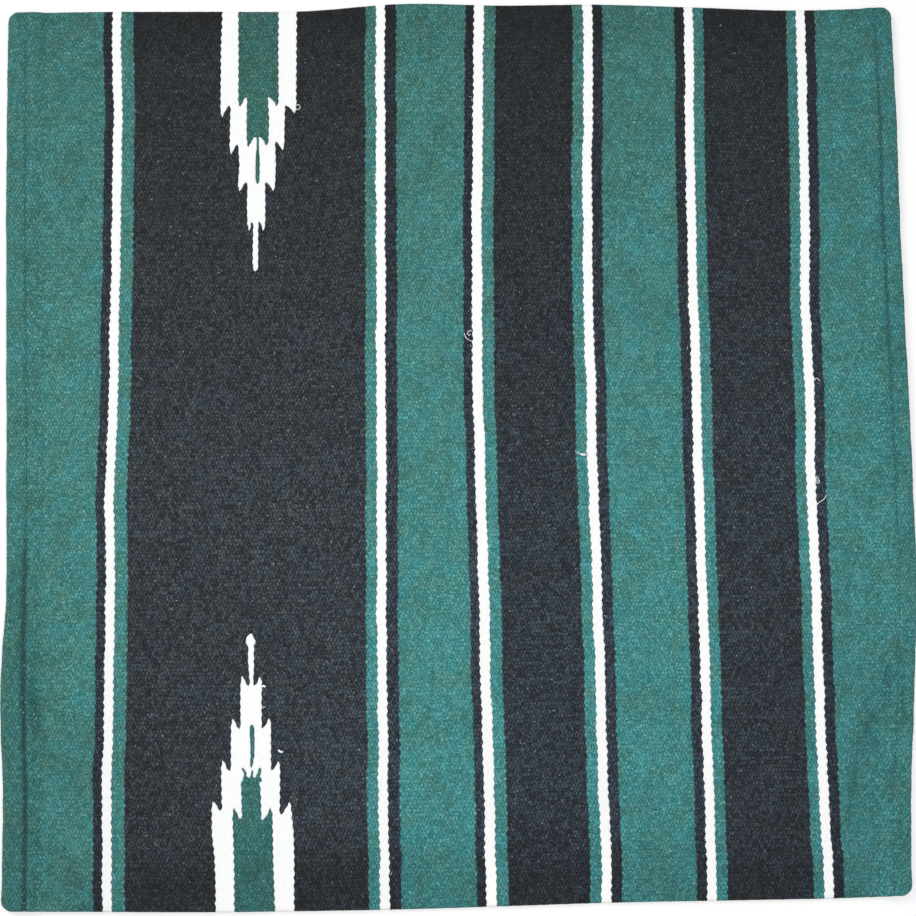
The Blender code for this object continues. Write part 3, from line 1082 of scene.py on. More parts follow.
    def flat_columns(
        self, start: Line, end: Line, step: float = 1.0, toothed: tuple[bool, bool] = (True, True)
    ) -> Columns:
        """Columns in flat cloth between two lines.

        Args:
            start: the first line, as the x of each row, and its pick number.
            end: the last line and its pick number.
            step: how many picks apart the columns lie.
            toothed: for both lines, whether another colour lies beyond.

        Returns:
            The columns.
        """
        (first, low), (last, high) = start, end
        pick = np.concatenate([[low], np.arange(low + 0.5, high, step), [high]])
        x = first + (last - first) * ((pick - low) / (high - low))[:, None]
        for number, has_teeth in zip((low, high), toothed):
            if has_teeth:
                near = np.clip(1 - np.abs(pick - number), 0, 1)[:, None]
                x = x + self.teeth(number) * near
        same = np.ones(len(pick))
        half = same * self.thick / 2
        press = (same, same * self.back_press)
        return Columns(x, pick, half, same * math.pi / 2, half, same * 0, *press, x * 0, x * 0 + 1)

    def picks_in(self, length: float) -> int:
        """How many picks fill a length."""
        return max(2, round(length / self.pick_pitch))


@dataclass(frozen=True)
class Sewing:
    """How one hem was sewn, and the shade painted over it, with shares at even steps from its lower end to
    its upper one.

    The drift is how far the seam strays inwards, in millimetres. The painted shades are what the seam's
    ditch and the whole hem lose in brightness as painted shade; where a hem's painted shade is below nothing
    it is painted light. The thread is tight, and the seam deep, below a place from -1 to 1.
    """

    margin: float
    drift: Shares
    seam_tone: Shares
    hem_tone: Shares
    tight_below: float = -2.0
    deep_below: float = -2.0
    tight_length: float = 0.12
    deep_length: float = 0.18
    tight_tone: float = 0.66


SEWING = {
    Side.LOW: Sewing(
        margin=0.0075,
        drift=(4.8, 4.4, 5.4, 1.1, 2.2, 1.9, 1.5, 1.5, 1.1, 0.0),
        seam_tone=(0.2, 0.2, 0.2, 0.2, 0.12, 0.15, 0.22, 0.22, 0.2, 0.2),
        hem_tone=(0.06, 0.08, 0.14, 0.15, 0.08, 0.07, 0.07, 0.05, 0.03, -0.03),
        tight_below=-0.13,
        deep_below=-0.36,
    ),
    Side.HIGH: Sewing(
        margin=0.003,
        drift=(0.0, 0.0),
        seam_tone=(0.0, 0.0, 0.0, 0.0, 0.1, 0.32, 0.5, 0.52, 0.42, 0.15),
        hem_tone=(-0.14, -0.03, -0.01, 0.05, 0.08, 0.12, 0.12, 0.07, 0.05, 0.0),
    ),
}


@dataclass(frozen=True)
class Hem:
    """One hem: the border rises over its own turned-under end, folds and comes back under to a raw end.

    An inset is a distance inside the hem's edge. The flat one is where the cloth lies flat on the floor, the
    raw one where the turned-under end stops, and the fold one where the fold begins.
    """

    plan: ClothPlan
    side: Side
    stitch_inset: float = 0.0165
    ramp: float = 0.0125
    corner_radius: float = 0.008
    layer_gap: float = 0.0004
    pressed_share: float = 0.86
    face_press: float = 0.9
    fold_press: float = 0.4
    back_press: float = 0.12
    end_draw: float = 0.0008
    ditch_depth: float = 0.0009
    ditch_half_width: float = 0.0024
    hollow_inset: float = 0.010
    hollow_depth: float = 0.001
    hollow_half_width: float = 0.0035
    # The half width of the painted shade in the seam's ditch, and how far the painted shade over the hem
    # reaches.
    seam_tone_half_width: float = 0.0016
    tone_reach: float = 0.0185
    deep_tone_reach: float = 0.012
    fold_steps: int = 10
    warp_tail: float = 0.003

    @cached_property
    def sewing(self) -> Sewing:
        """How this hem was sewn."""
        return SEWING[self.side]

    @cached_property
    def layer(self) -> float:
        """The thickness of one pressed layer."""
        return self.plan.thick * self.pressed_share

    @cached_property
    def fold_radius(self) -> float:
        """The radius of the middle of the cloth in the fold."""
        return (self.layer + self.layer_gap) / 2

    @cached_property
    def over_height(self) -> float:
        """The height of the middle of the upper layer."""
        return self.layer / 2 + 2 * self.fold_radius

    @cached_property
    def fold_inset(self) -> float:
        """How far inside the edge the fold begins."""
        return self.layer / 2 + self.fold_radius

    @cached_property
    def raw_inset(self) -> float:
        """How far inside the edge the turned-under end stops."""
        return self.stitch_inset + self.sewing.margin

    @cached_property
    def flat_inset(self) -> float:
        """How far inside the edge the cloth lies flat on the floor."""
        return self.raw_inset + self.ramp

    @cached_property
    def tight(self) -> Array:
        """How much each row belongs to the end of the hem where the thread is tight."""
        return self.share_below(self.sewing.tight_below, self.sewing.tight_length)

    @cached_property
    def deep(self) -> Array:
        """How much each row belongs to the end of the hem that is sewn deeper."""
        return self.share_below(self.sewing.deep_below, self.sewing.deep_length)

    @cached_property
    def seam_inset(self) -> Array:
        """How far inside the edge the stitches run at each row."""
        return self.stitch_inset + smooth_share(self.sewing.drift, self.plan.places) / 1000

    @cached_property
    def seam_depth(self) -> Array:
        """How deep the stitches sink at each row."""
        return self.ditch_depth * (1 + self.deep)

    @cached_property
    def path_length(self) -> float:
        """The length of cloth from the flat part to the raw end."""
        slope = math.hypot(self.ramp, self.over_height - self.plan.thick / 2)
        return slope + math.pi * self.fold_radius + 2 * (self.raw_inset - self.fold_inset)

    def share_below(self, start: float, length: float) -> Array:
        """A share for each row that grows from 0 at a place to 1 further down the hem."""
        return eased(np.clip((start - self.plan.places) / length, 0, 1))

    def sink(self, inset: Array) -> Array:
        """How far the outer face sinks, over the stitches and beyond the turned-under end.

        Args:
            inset: the inset of each column.

        Returns:
            The depth at each column and row.
        """
        beside = inset[:, None] - self.seam_inset
        ditch = beside / self.ditch_half_width
        hollow = (beside - self.hollow_inset) / self.hollow_half_width
        hollow_depth = self.hollow_depth * self.deep
        return self.seam_depth * np.exp(-(ditch**2)) + hollow_depth * np.exp(-(hollow**2))

    def tone(self, inset: Array) -> Array:
        """How bright the wool is painted: painted shade over the hem, deepest in the ditch where the seam
        pinches it.

        Args:
            inset: the inset of each column.

        Returns:
            The brightness at each column and row.
        """
        # Painted shade: a dark line in the seam's ditch and a darker band over the hem, painted light where
        # that band's share is below nothing.
        beside = inset[:, None] - self.seam_inset
        loose = smooth_share(self.sewing.seam_tone, self.plan.places)
        depth = loose + (self.sewing.tight_tone - loose) * self.tight
        seam = beside / (self.seam_tone_half_width * (1 + self.tight * (beside < 0)))
        reach = self.stitch_inset + self.tone_reach + self.deep_tone_reach * self.deep
        hem_shade_share = np.clip((reach - inset[:, None]) / self.ramp, 0, 1)
        dullness = smooth_share(self.sewing.hem_tone, self.plan.places) * hem_shade_share
        return (1 - dullness) * (1 - depth * np.exp(-(seam**2)))

    def corner(self, inset: Array) -> Array:
        """How much the round corners take off each end.

        Args:
            inset: the inset of each column.

        Returns:
            The length that each column loses at both ends.
        """
        depth = np.clip(self.corner_radius - np.maximum(inset - self.layer / 2, 0), 0, None)
        raised = np.clip((self.flat_inset - inset) / self.ramp, 0, 1)
        return self.corner_radius - np.sqrt(self.corner_radius**2 - depth**2) + self.end_draw * raised

    def part(self, inset: Array, height: Array, half: Array, turn: Array) -> Columns:
        """Columns of the hem, from their cross-section, before they are given pick numbers.

        Args:
            inset: the inset of each column.
            height: the height of the cloth's middle.
            half: half its thickness.
            turn: how far it has turned over in the fold.

        Returns:
            The columns.
        """
        x = np.stack([self.plan.edge_line(self.side, value) for value in inset])
        facing = math.pi / 2 - self.side.value * turn
        flat_share = np.clip((inset - self.raw_inset) / self.ramp, 0, 1)
        pressed = self.back_press + (self.plan.back_press - self.back_press) * flat_share
        is_folded = (turn > 0) & (turn < math.pi)
        face = np.where(is_folded, self.fold_press, self.face_press)
        back = np.where(turn > 0, self.back_press, pressed)
        sink = np.where(is_folded[:, None], 0, self.sink(inset))
        trim, tone = self.corner(inset), self.tone(inset)
        return Columns(x, inset * 0, height, facing, half, trim, face, back, sink, tone)

    def columns(self, pick: int) -> Columns:
        """All columns of the hem.

        Args:
            pick: the number of the hem's first pick in the order of the cloth.

        Returns:
            The columns, from the flat part outwards at the right, and from the raw end at the left.
        """
        plan, radius = self.plan, self.fold_radius
        count = round((self.flat_inset - self.fold_inset) / plan.pick_pitch)
        inset = np.linspace(self.flat_inset, self.fold_inset, count + 1)[1:]
        rise = eased(np.clip((self.flat_inset - inset) / self.ramp, 0, 1))
        height = plan.thick / 2 + (self.over_height - plan.thick / 2) * rise
        half = plan.thick / 2 + (self.layer - plan.thick) / 2 * rise
        over = self.part(inset, height, half, inset * 0)
        turn = math.pi * np.arange(1, self.fold_steps) / self.fold_steps
        inset = self.fold_inset - radius * np.sin(turn)
        height = self.layer / 2 + radius * (1 + np.cos(turn))
        fold = self.part(inset, height, turn * 0 + self.layer / 2, turn)
        count = round((self.raw_inset - self.fold_inset) / plan.pick_pitch)
        inset = np.linspace(self.fold_inset, self.raw_inset, count + 1)
        half = inset * 0 + self.layer / 2
        path = Columns.join([over, fold, self.part(inset, half, half, inset * 0 + math.pi)])
        if self.side is Side.LOW:
            path = path.take(slice(None, None, -1))
        path.pick = pick + 0.5 + np.arange(len(path.pick))
        return path


@dataclass(frozen=True)
class StripeGroup:
    """A white stripe on the join of two fields, between a narrow black and a narrow green one."""

    plan: ClothPlan
    number: int

    @property
    def yarns(self) -> tuple[Yarn, ...]:
        """The yarns of the three stripes from left to right: black lies beside the green field."""
        order = (Yarn.BLACK, Yarn.WHITE, Yarn.GREEN)
        return order if self.number % 2 else order[::-1]

    @property
    def widths(self) -> tuple[float, float, float]:
        """The widths of the three stripes."""
        return self.plan.stripe_widths[self.number - 1]

    def line(self, edge: int) -> Array:
        """Follows an edge of the stripes.

        Args:
            edge: which of the four edges, from 0 at the left to 3.

        Returns:
            The x of each row.
        """
        plan, number = self.plan, self.number
        first, white, last = self.widths
        offset = (-white / 2 - first, -white / 2, white / 2, white / 2 + last)[edge]
        stray = plan.stripe_stray * smooth_share(plan.stripes[number - 1], plan.places)
        own = plan.wander(10 * number + edge) * plan.single_wander
        unsteady = plan.wander(plan.stripe_seed + number) + own
        return sum(plan.field_lengths[:number]) - plan.half_length + offset + stray + unsteady


class ClothGrid:
    """Two layers of points along lines of picks and ribs, joined round both selvedges."""

    def __init__(self, plan: ClothPlan, columns: Columns) -> None:
        """Places the middle of the cloth.

        Args:
            plan: the cloth's sizes.
            columns: its lines of picks.
        """
        self.plan = plan
        self.columns = columns
        self.x = columns.x.copy()
        inset = columns.trim + columns.half
        low = plan.selvedge(self.x[:, 0], Side.LOW) + inset
        high = plan.selvedge(self.x[:, -1], Side.HIGH) - inset
        self.y = low[:, None] + (high - low)[:, None] * plan.spots
        self.rows = self.x.shape[1]
        self.size = 2 * (self.rows + plan.turn_steps - 1)

    def ring(self) -> tuple[Array, ...]:
        """The points round one line of picks: face, upper selvedge, back, lower selvedge.

        Returns:
            For each point: its row, the sine and cosine of its turn off the cloth's plane, its rib number
            and whether it counts to the back.
        """
        steps, ribs = self.plan.turn_steps, self.plan.ribs
        order = np.arange(self.rows)
        turn = math.pi / 2 - math.pi * np.arange(1, steps) / steps
        late = (np.arange(1, steps) > steps / 2).astype(float)
        end = np.full(steps - 1, self.rows - 1)
        row = np.concatenate([order, end, order[::-1], end * 0])
        one = np.ones(self.rows)
        sine = np.concatenate([one, np.sin(turn), -one, -np.sin(turn)])
        cosine = np.concatenate([one * 0, np.cos(turn), one * 0, -np.cos(turn)])
        last_rib = self.plan.rib_count + 0.5
        rib = np.concatenate([ribs, end * 0 + last_rib, ribs[::-1], end * 0 - 0.5])
        back = np.concatenate([one * 0, late, one, 1 - late])
        return row, sine, cosine, rib, back

    def points(self) -> dict[str, Array]:
        """All points of both layers.

        Returns:
            Their places, and by attribute name the place in the weave, the way out of the cloth and the
            tone of each, which is the brightness left by painted shade over the hems, in the seams and in
            the creases.
        """
        row, sine, cosine, rib, back = self.ring()
        c, plan = self.columns, self.plan
        half, facing = c.half[:, None], c.facing[:, None]
        x = self.x[:, row] + np.cos(facing) * half * sine
        y = self.y[:, row] + half * cosine
        z = c.height[:, None] + np.sin(facing) * half * sine + plan.lift(x, y)
        z -= c.sink[:, row] * np.clip(sine, 0, 1) * np.sin(facing)
        press = (c.press_face[:, None] * (1 + sine) + c.press_back[:, None] * (1 - sine)) / 2
        press = press * (1 - plan.selvedge_smoothness * np.abs(cosine))
        flat = np.ones_like(x)
        outwards = np.stack([np.cos(facing) * sine, cosine * flat, np.sin(facing) * sine], -1)
        return {
            "places": np.stack([x, y, z], -1),
            "weave_place": np.stack([c.pick[:, None] * flat, rib * flat, back * flat], -1),
            "outwards": outwards * press[..., None],
            # The 'dye' attribute here holds painted shade over the hems, in the seams and in the creases,
            # tinted per colour.
            "dye": (c.tone[:, row] * plan.brightness(x, y))[..., None] ** np.array(plan.deepening),
        }

    def walls(self, keep: Array) -> list[Array]:
        """The faces from layer to layer where a piece ends.

        Args:
            keep: for each cell between columns and rows, whether it belongs to the piece.

        Returns:
            Sets of faces, each with four numbers of points.
        """
        rows, size, steps = self.rows, self.size, self.plan.turn_steps
        padded = np.pad(keep, 1)
        back_of = 2 * rows + steps - 2 - np.arange(rows)
        found = []
        for order in (1, -1):
            here, beside = (padded[1:, 1:-1], padded[:-1, 1:-1])[::order]
            c, j = np.nonzero(here & ~beside)
            wall = np.stack([j, j + 1, back_of[j + 1], back_of[j]], 1)
            caps = []
            for place, first in ((rows - 2, rows - 1), (0, 2 * rows + steps - 2)):
                ends = c[j == place]
                for i in range(steps // 2):
                    cap = first + np.array([i, i + 1, steps - 1 - i, steps - i])
                    caps.append(ends[:, None] * size + cap[None, :] % size)
            found.append(np.concatenate([wall + c[:, None] * size, *caps])[:, ::order])
            here, beside = (padded[1:-1, 2:-1], padded[1:-1, 1:-2])[::order]
            c, j = np.nonzero(here & ~beside)
            first, last, j = c * size, (c + 1) * size, j + 1
            wall = np.stack([last + j, first + j, first + back_of[j], last + back_of[j]], 1)
            found.append(wall[:, ::order])
        return found

    def shell(self, keep: Array | None = None) -> Mesh:
        """A closed mesh of all of the cloth or of some of its cells.

        Args:
            keep: for each cell between columns and rows, whether it belongs to the mesh.

        Returns:
            The mesh, with its place in the weave, the way out of the cloth and its tone as attributes; the
            tone is the brightness left by painted shade.
        """
        count, rows, size = len(self.x), self.rows, self.size
        if keep is None:
            keep = np.ones((count - 1, rows - 1), bool)
        order = np.arange(rows - 1)
        turn = np.zeros(self.plan.turn_steps, int)
        cell = np.concatenate([order, turn + rows - 2, order[::-1], turn])
        c, r = np.nonzero(keep[:, cell])
        first, last, after = c * size, (c + 1) * size, (r + 1) % size
        faces = np.stack([first + r, last + r, last + after, first + after], 1)
        quads = np.concatenate([faces, *self.walls(keep)])
        used, index = np.unique(quads, return_inverse=True)
        values = {name: part.reshape(-1, 3)[used] for name, part in self.points().items()}
        mesh = quad_mesh("shell", values.pop("places"), index.reshape(quads.shape))
        for name, part in values.items():
            write_vectors(mesh, name, part)
        return mesh


@dataclass(frozen=True)
class Step:
    """One step on one side of a figure, in millimetres.

    The edge holds distances from the figure's middle line, evenly spaced from the step's start to its end.
    The rise is where the notch is cut, above the selvedge, and the barb is how far the point runs past it.
    """

    edge: Shares
    rise: float
    barb: float


@dataclass(frozen=True)
class FigureSide:
    """One side of an outline: its steps, then the points of what follows the last one.

    The barb's points, the reach of a step's edge and the slope before a notch are shares of the tip's inset
    and of how far the barb runs past the step.
    """

    steps: tuple[Step, ...]
    tail: Points
    tip_inset: float = 1.3
    notch_inset: float = 0.6
    foot: float = 1.5
    overrun: float = 20.0
    barb: Points = ((1.0, 1.0), (1.8, 0.9))
    edge_reach: float = 0.4
    notch_slope: float = 0.22

    def points(self) -> list[tuple[float, float]]:
        """Follows the side from the selvedge upwards.

        Returns:
            Its points, as distances from the middle line and from the selvedge.
        """
        found = [(self.steps[0].edge[0], -self.overrun)]
        starts = [step.edge[0] for step in self.steps[1:]] + [self.tail[0][0]]
        low = 0.0
        for step, after in zip(self.steps, starts):
            top = step.rise + step.barb * self.edge_reach
            end, notch = step.edge[-1], after + self.notch_inset
            found += zip(step.edge, np.linspace(low + self.foot, top, len(step.edge)))
            found += [(end - self.tip_inset * x, step.rise + step.barb * y) for x, y in self.barb]
            found += [((end + notch * 2) / 3, step.rise + step.barb * self.notch_slope), (notch, step.rise)]
            low = step.rise
        return found + list(self.tail)


@dataclass(frozen=True)
class SteppedFigure:
    """A stepped figure let into the black field: white legs round a green core, three steps and a stem.

    Each step ends in barbs, and the weaver's hand varies all of them. Sizes are in millimetres. The teeth
    are how far the picks of two colours pass each other on neighbouring ribs, up in the cloth and at the
    selvedge.
    """

    name: str
    side: Side
    offset: float
    teeth: tuple[float, float]
    left: FigureSide
    right: FigureSide
    core_left: FigureSide
    core_right: FigureSide
    sliver: Points
    sliver_tooth: float = 0.15
    selvedge_share: float = 0.35

    def shifts(self, places: Array) -> tuple[Array, Array, Array]:
        """How far each row's teeth stand to the right.

        Args:
            places: the place of each row, from -1 at the lower selvedge to 1.

        Returns:
            The shifts of each row, for each of the three outlines.
        """
        turns = np.zeros(len(places))
        turns[1::2] = np.where(np.arange(len(places) // 2) % 2 == 0, 1, -1) / 1000
        near = np.clip(1 - (1 - self.side.value * places) / self.selvedge_share, 0, 1)
        toothed = turns * (self.teeth[0] + (self.teeth[1] - self.teeth[0]) * near)
        return toothed, toothed, turns * self.sliver_tooth

    def outlines(self, middle: float, foot: float) -> list[Array]:
        """The outlines of the white part, the core and the core's sliver.

        Args:
            middle: the x of the middle line.
            foot: the y of the selvedge there.

        Returns:
            The three outlines, in metres.
        """
        found = [list(self.sliver)]
        for left, right in ((self.core_left, self.core_right), (self.left, self.right)):
            found.insert(0, right.points() + [(-x, y) for x, y in reversed(left.points())])
        up = -self.side.value
        return [np.array([(middle + x / 1000, foot + up * y / 1000) for x, y in each]) for each in found]


TOP_FIGURE = SteppedFigure(
    "top",
    Side.HIGH,
    offset=0.009,
    teeth=(0.28, 0.6),
    left=FigureSide(
        (
            Step((32.2, 33.4, 33.5, 33.6), 89.7, 11.3),
            Step((24.4, 24.8, 25.1), 126.8, 9.5),
            Step((17.1, 16.1, 17.3), 162.5, 8.6),
            Step((8.6, 9.1, 8.5), 198.9, 9.1),
        ),
        ((3.2, 203), (3.6, 222), (3.7, 238), (3.2, 243.5), (1.3, 246)),
    ),
    right=FigureSide(
        (
            Step((36.5, 36.2, 35.9), 90.0, 7.8),
            Step((25.7, 25.2, 24.9), 124.4, 8.3),
            Step((16.6, 17.3, 16.5), 162.6, 8.3),
            Step((7.5, 7.7, 7.5), 199.0, 9.2),
        ),
        ((1.4, 203), (1.2, 222), (1.3, 240), (0.9, 244)),
    ),
    core_left=FigureSide(
        (Step((17.5, 17.2, 17.3), 82.2, 9.3), Step((9.2, 9.6, 9.4), 119.1, 10.4)), ((0.3, 119.6),)
    ),
    core_right=FigureSide(
        (Step((19.7, 19.4, 19.8), 82.1, 8.7), Step((10.0, 11.0, 10.6), 119.4, 9.3)), ((1.5, 119.9),)
    ),
    sliver=(
        (-0.4, 117.5), (1.6, 117.5), (1.7, 124), (1.9, 134), (2.5, 140), (2.5, 150), (2.3, 161),
        (1.3, 164), (0, 164), (-1.2, 161), (-1.4, 148), (-1.0, 136), (-0.2, 130), (-0.3, 124),
    ),
)
BOTTOM_FIGURE = SteppedFigure(
    "bottom",
    Side.LOW,
    offset=0.005,
    teeth=(0.35, 0.6),
    left=FigureSide(
        (
            Step((30.5, 30.7, 31.6, 34.1, 34.3), 87.1, 9.1),
            Step((25.3, 25.9, 26.2), 121.2, 10.0),
            Step((17.6, 17.8, 17.6), 158.0, 9.3),
            Step((9.3, 9.5, 9.4), 195.4, 9.2),
        ),
        (
            (1.4, 199), (2.0, 207), (2.9, 218), (2.7, 231), (5.3, 233.5), (5.2, 235.2), (3.6, 239),
            (1.4, 241.6),
        ),
    ),
    right=FigureSide(
        (
            Step((37.8, 37.8, 37.9, 37.4, 35.4), 83.2, 11.3),
            Step((25.2, 25.4, 25.5), 121.6, 8.1),
            Step((17.6, 17.4, 17.5), 158.2, 9.6),
            Step((9.3, 9.1, 9.3), 195.3, 8.7),
        ),
        ((1.6, 199), (2.3, 210), (2.2, 231), (3.6, 233.3), (3.4, 235.5), (1.6, 239.5), (0.2, 241.6)),
    ),
    core_left=FigureSide(
        (Step((14.2, 14.6, 16.1), 79.6, 9.9),),
        (
            (7.9, 81), (8.3, 99), (8.8, 110.9), (7.2, 114.4), (5.8, 117.8), (8.2, 123.9), (6.6, 124.6),
            (4.4, 120.6), (4.0, 117.9), (1.8, 115.2), (0.2, 116.2), (0.1, 120.9), (-0.3, 122.6),
        ),
    ),
    core_right=FigureSide(
        (Step((21.1, 19.6, 18.9), 78.5, 10.8),),
        (
            (9.2, 80), (8.5, 101), (8.0, 108.4), (7.2, 111.5), (9.2, 112.6), (9.2, 114.0), (8.4, 116.6),
            (8.5, 120.5), (9.4, 123.7), (7.0, 123.7), (5.3, 119.5), (4.7, 116.9), (3.5, 115.0),
            (1.7, 116.9), (1.8, 120.0), (1.0, 122.6),
        ),
    ),
    sliver=(
        (0.1, 124.0), (1.4, 126.5), (2.9, 134), (3.1, 147), (2.8, 159), (1.2, 162), (-0.9, 160.5),
        (-1.4, 156), (-0.6, 144), (-0.5, 132), (-0.9, 126.5),
    ),
)


@dataclass
class Outline:
    """A closed line on the cloth that parts two colours, which are numbers.

    The corners are those that the line has with the teeth taken away, and the shift is how far each row's
    teeth stand to the right.
    """

    inner: int
    outer: int
    corners: Array
    shift: Array

    def sides(self) -> Iterable[tuple[Array, Array]]:
        """Both ends of each side."""
        return zip(self.corners, np.roll(self.corners, -1, axis=0))

    def holds(self, points: Array) -> Array:
        """Tells which points lie inside.

        Args:
            points: the points, one row each.

        Returns:
            True or False for each point.
        """
        found = np.zeros(len(points), bool)
        x, y = points.T
        for (ax, ay), (bx, by) in self.sides():
            if ay != by:
                crosses = (ay > y) != (by > y)
                found ^= crosses & (x < ax + (bx - ax) * (y - ay) / (by - ay))
        return found

    def nearest(self, points: Array) -> Array:
        """Finds the nearest place on the line for each point.

        Args:
            points: the points, one row each.

        Returns:
            The places, one row each.
        """
        best = np.full(len(points), np.inf)
        place = points.copy()
        for a, b in self.sides():
            way = b - a
            share = np.clip((points - a) @ way / (way @ way), 0, 1)
            spot = a + share[:, None] * way
            gap = np.linalg.norm(points - spot, axis=1)
            closer = gap < best
            best[closer], place[closer] = gap[closer], spot[closer]
        return place


DYES = {
    "green_core_top": (0.78, 0.76, 0.74),
    "green_core_bottom": (0.74, 0.70, 0.69),
    "narrow_green": (1.05, 1.04, 1.06),
    "narrow_black": (0.86, 0.93, 1.06),
    "black_field_middle": (0.79, 0.83, 0.86),
    "black_field_right": (0.88, 0.92, 0.95),
    "white_figure_bottom": (1.03, 1.03, 1.03),
    "white_stripe_5": (1.02, 1.02, 1.02),
    "white_stripe_6": (1.035, 1.035, 1.035),
}


@dataclass
class Workshop:
    """What every part of the blanket is made with: the plan, the trees and the finished materials."""

    plan: ClothPlan
    trees: ShapeTrees
    materials: dict[Yarn, Material]

    def finish(
        self, piece: Object, tree: NodeTree, yarn: Yarn, values: dict[str, object], node: str | None = None
    ) -> Object:
        """Runs a piece through a tree, fixes it to the blanket's body and hides the solid that it takes the
        place of.

        Args:
            piece: the piece, with a plain mesh.
            tree: the Geometry Nodes tree.
            yarn: what the piece is made of.
            values: the tree's inputs, by name, apart from its material.
            node: the solid that the piece takes the place of, if it does.

        Returns:
            The piece.
        """
        grow(piece, tree, values | {"Material": self.materials[yarn]})
        if not node:
            write_vectors(piece.data, "dye", np.ones((len(piece.data.vertices), 3)))
        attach(piece, "root")
        if node:
            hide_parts(node)
        log.info("%s: %d faces", piece.name, len(piece.data.polygons))
        return piece

    def weave(self, name: str, mesh: Mesh, yarn: Yarn, seed: int, most: float = math.inf) -> Object:
        """Turns a smooth shell into woven cloth, dyed a little off the dye lot's mean if the piece is.

        Args:
            name: the name of the solid that it takes the place of.
            mesh: the shell.
            yarn: the yarn that it is woven of.
            seed: what makes its unevenness its own.
            most: the most triangles, to which the back alone is thinned.

        Returns:
            The finished piece.
        """
        dye = next((dye for start, dye in DYES.items() if name.startswith(start)), (1.0, 1.0, 1.0))
        write_vectors(mesh, "dye", read_vectors(mesh, "dye") * np.float32(dye))
        piece = new_object(f"{name}_cloth", mesh)
        triangles = 2 * len(mesh.polygons)
        if triangles > most:
            self.thin_back(piece, most / triangles)
        plan = self.plan
        values = {"Rib Depth": plan.rib_depth, "Float Depth": plan.float_depth, "Seed": seed}
        values["Unevenness"] = plan.unevenness
        return self.finish(piece, self.trees.woven_relief, yarn, values, name)

    @staticmethod
    def thin_back(piece: Object, ratio: float) -> None:
        """Adds a modifier that leaves fewer faces on the back of a piece.

        Args:
            piece: the piece.
            ratio: the share of all faces that stays.
        """
        is_back = read_vectors(piece.data, "weave_place")[:, 2] > 0.5
        back = piece.vertex_groups.new(name="back")
        back.add(np.nonzero(is_back)[0].tolist(), 1.0, "REPLACE")
        thin = piece.modifiers.new("thin_back", "DECIMATE")
        thin.ratio = ratio
        thin.vertex_group = "back"
        thin.vertex_group_factor = 100


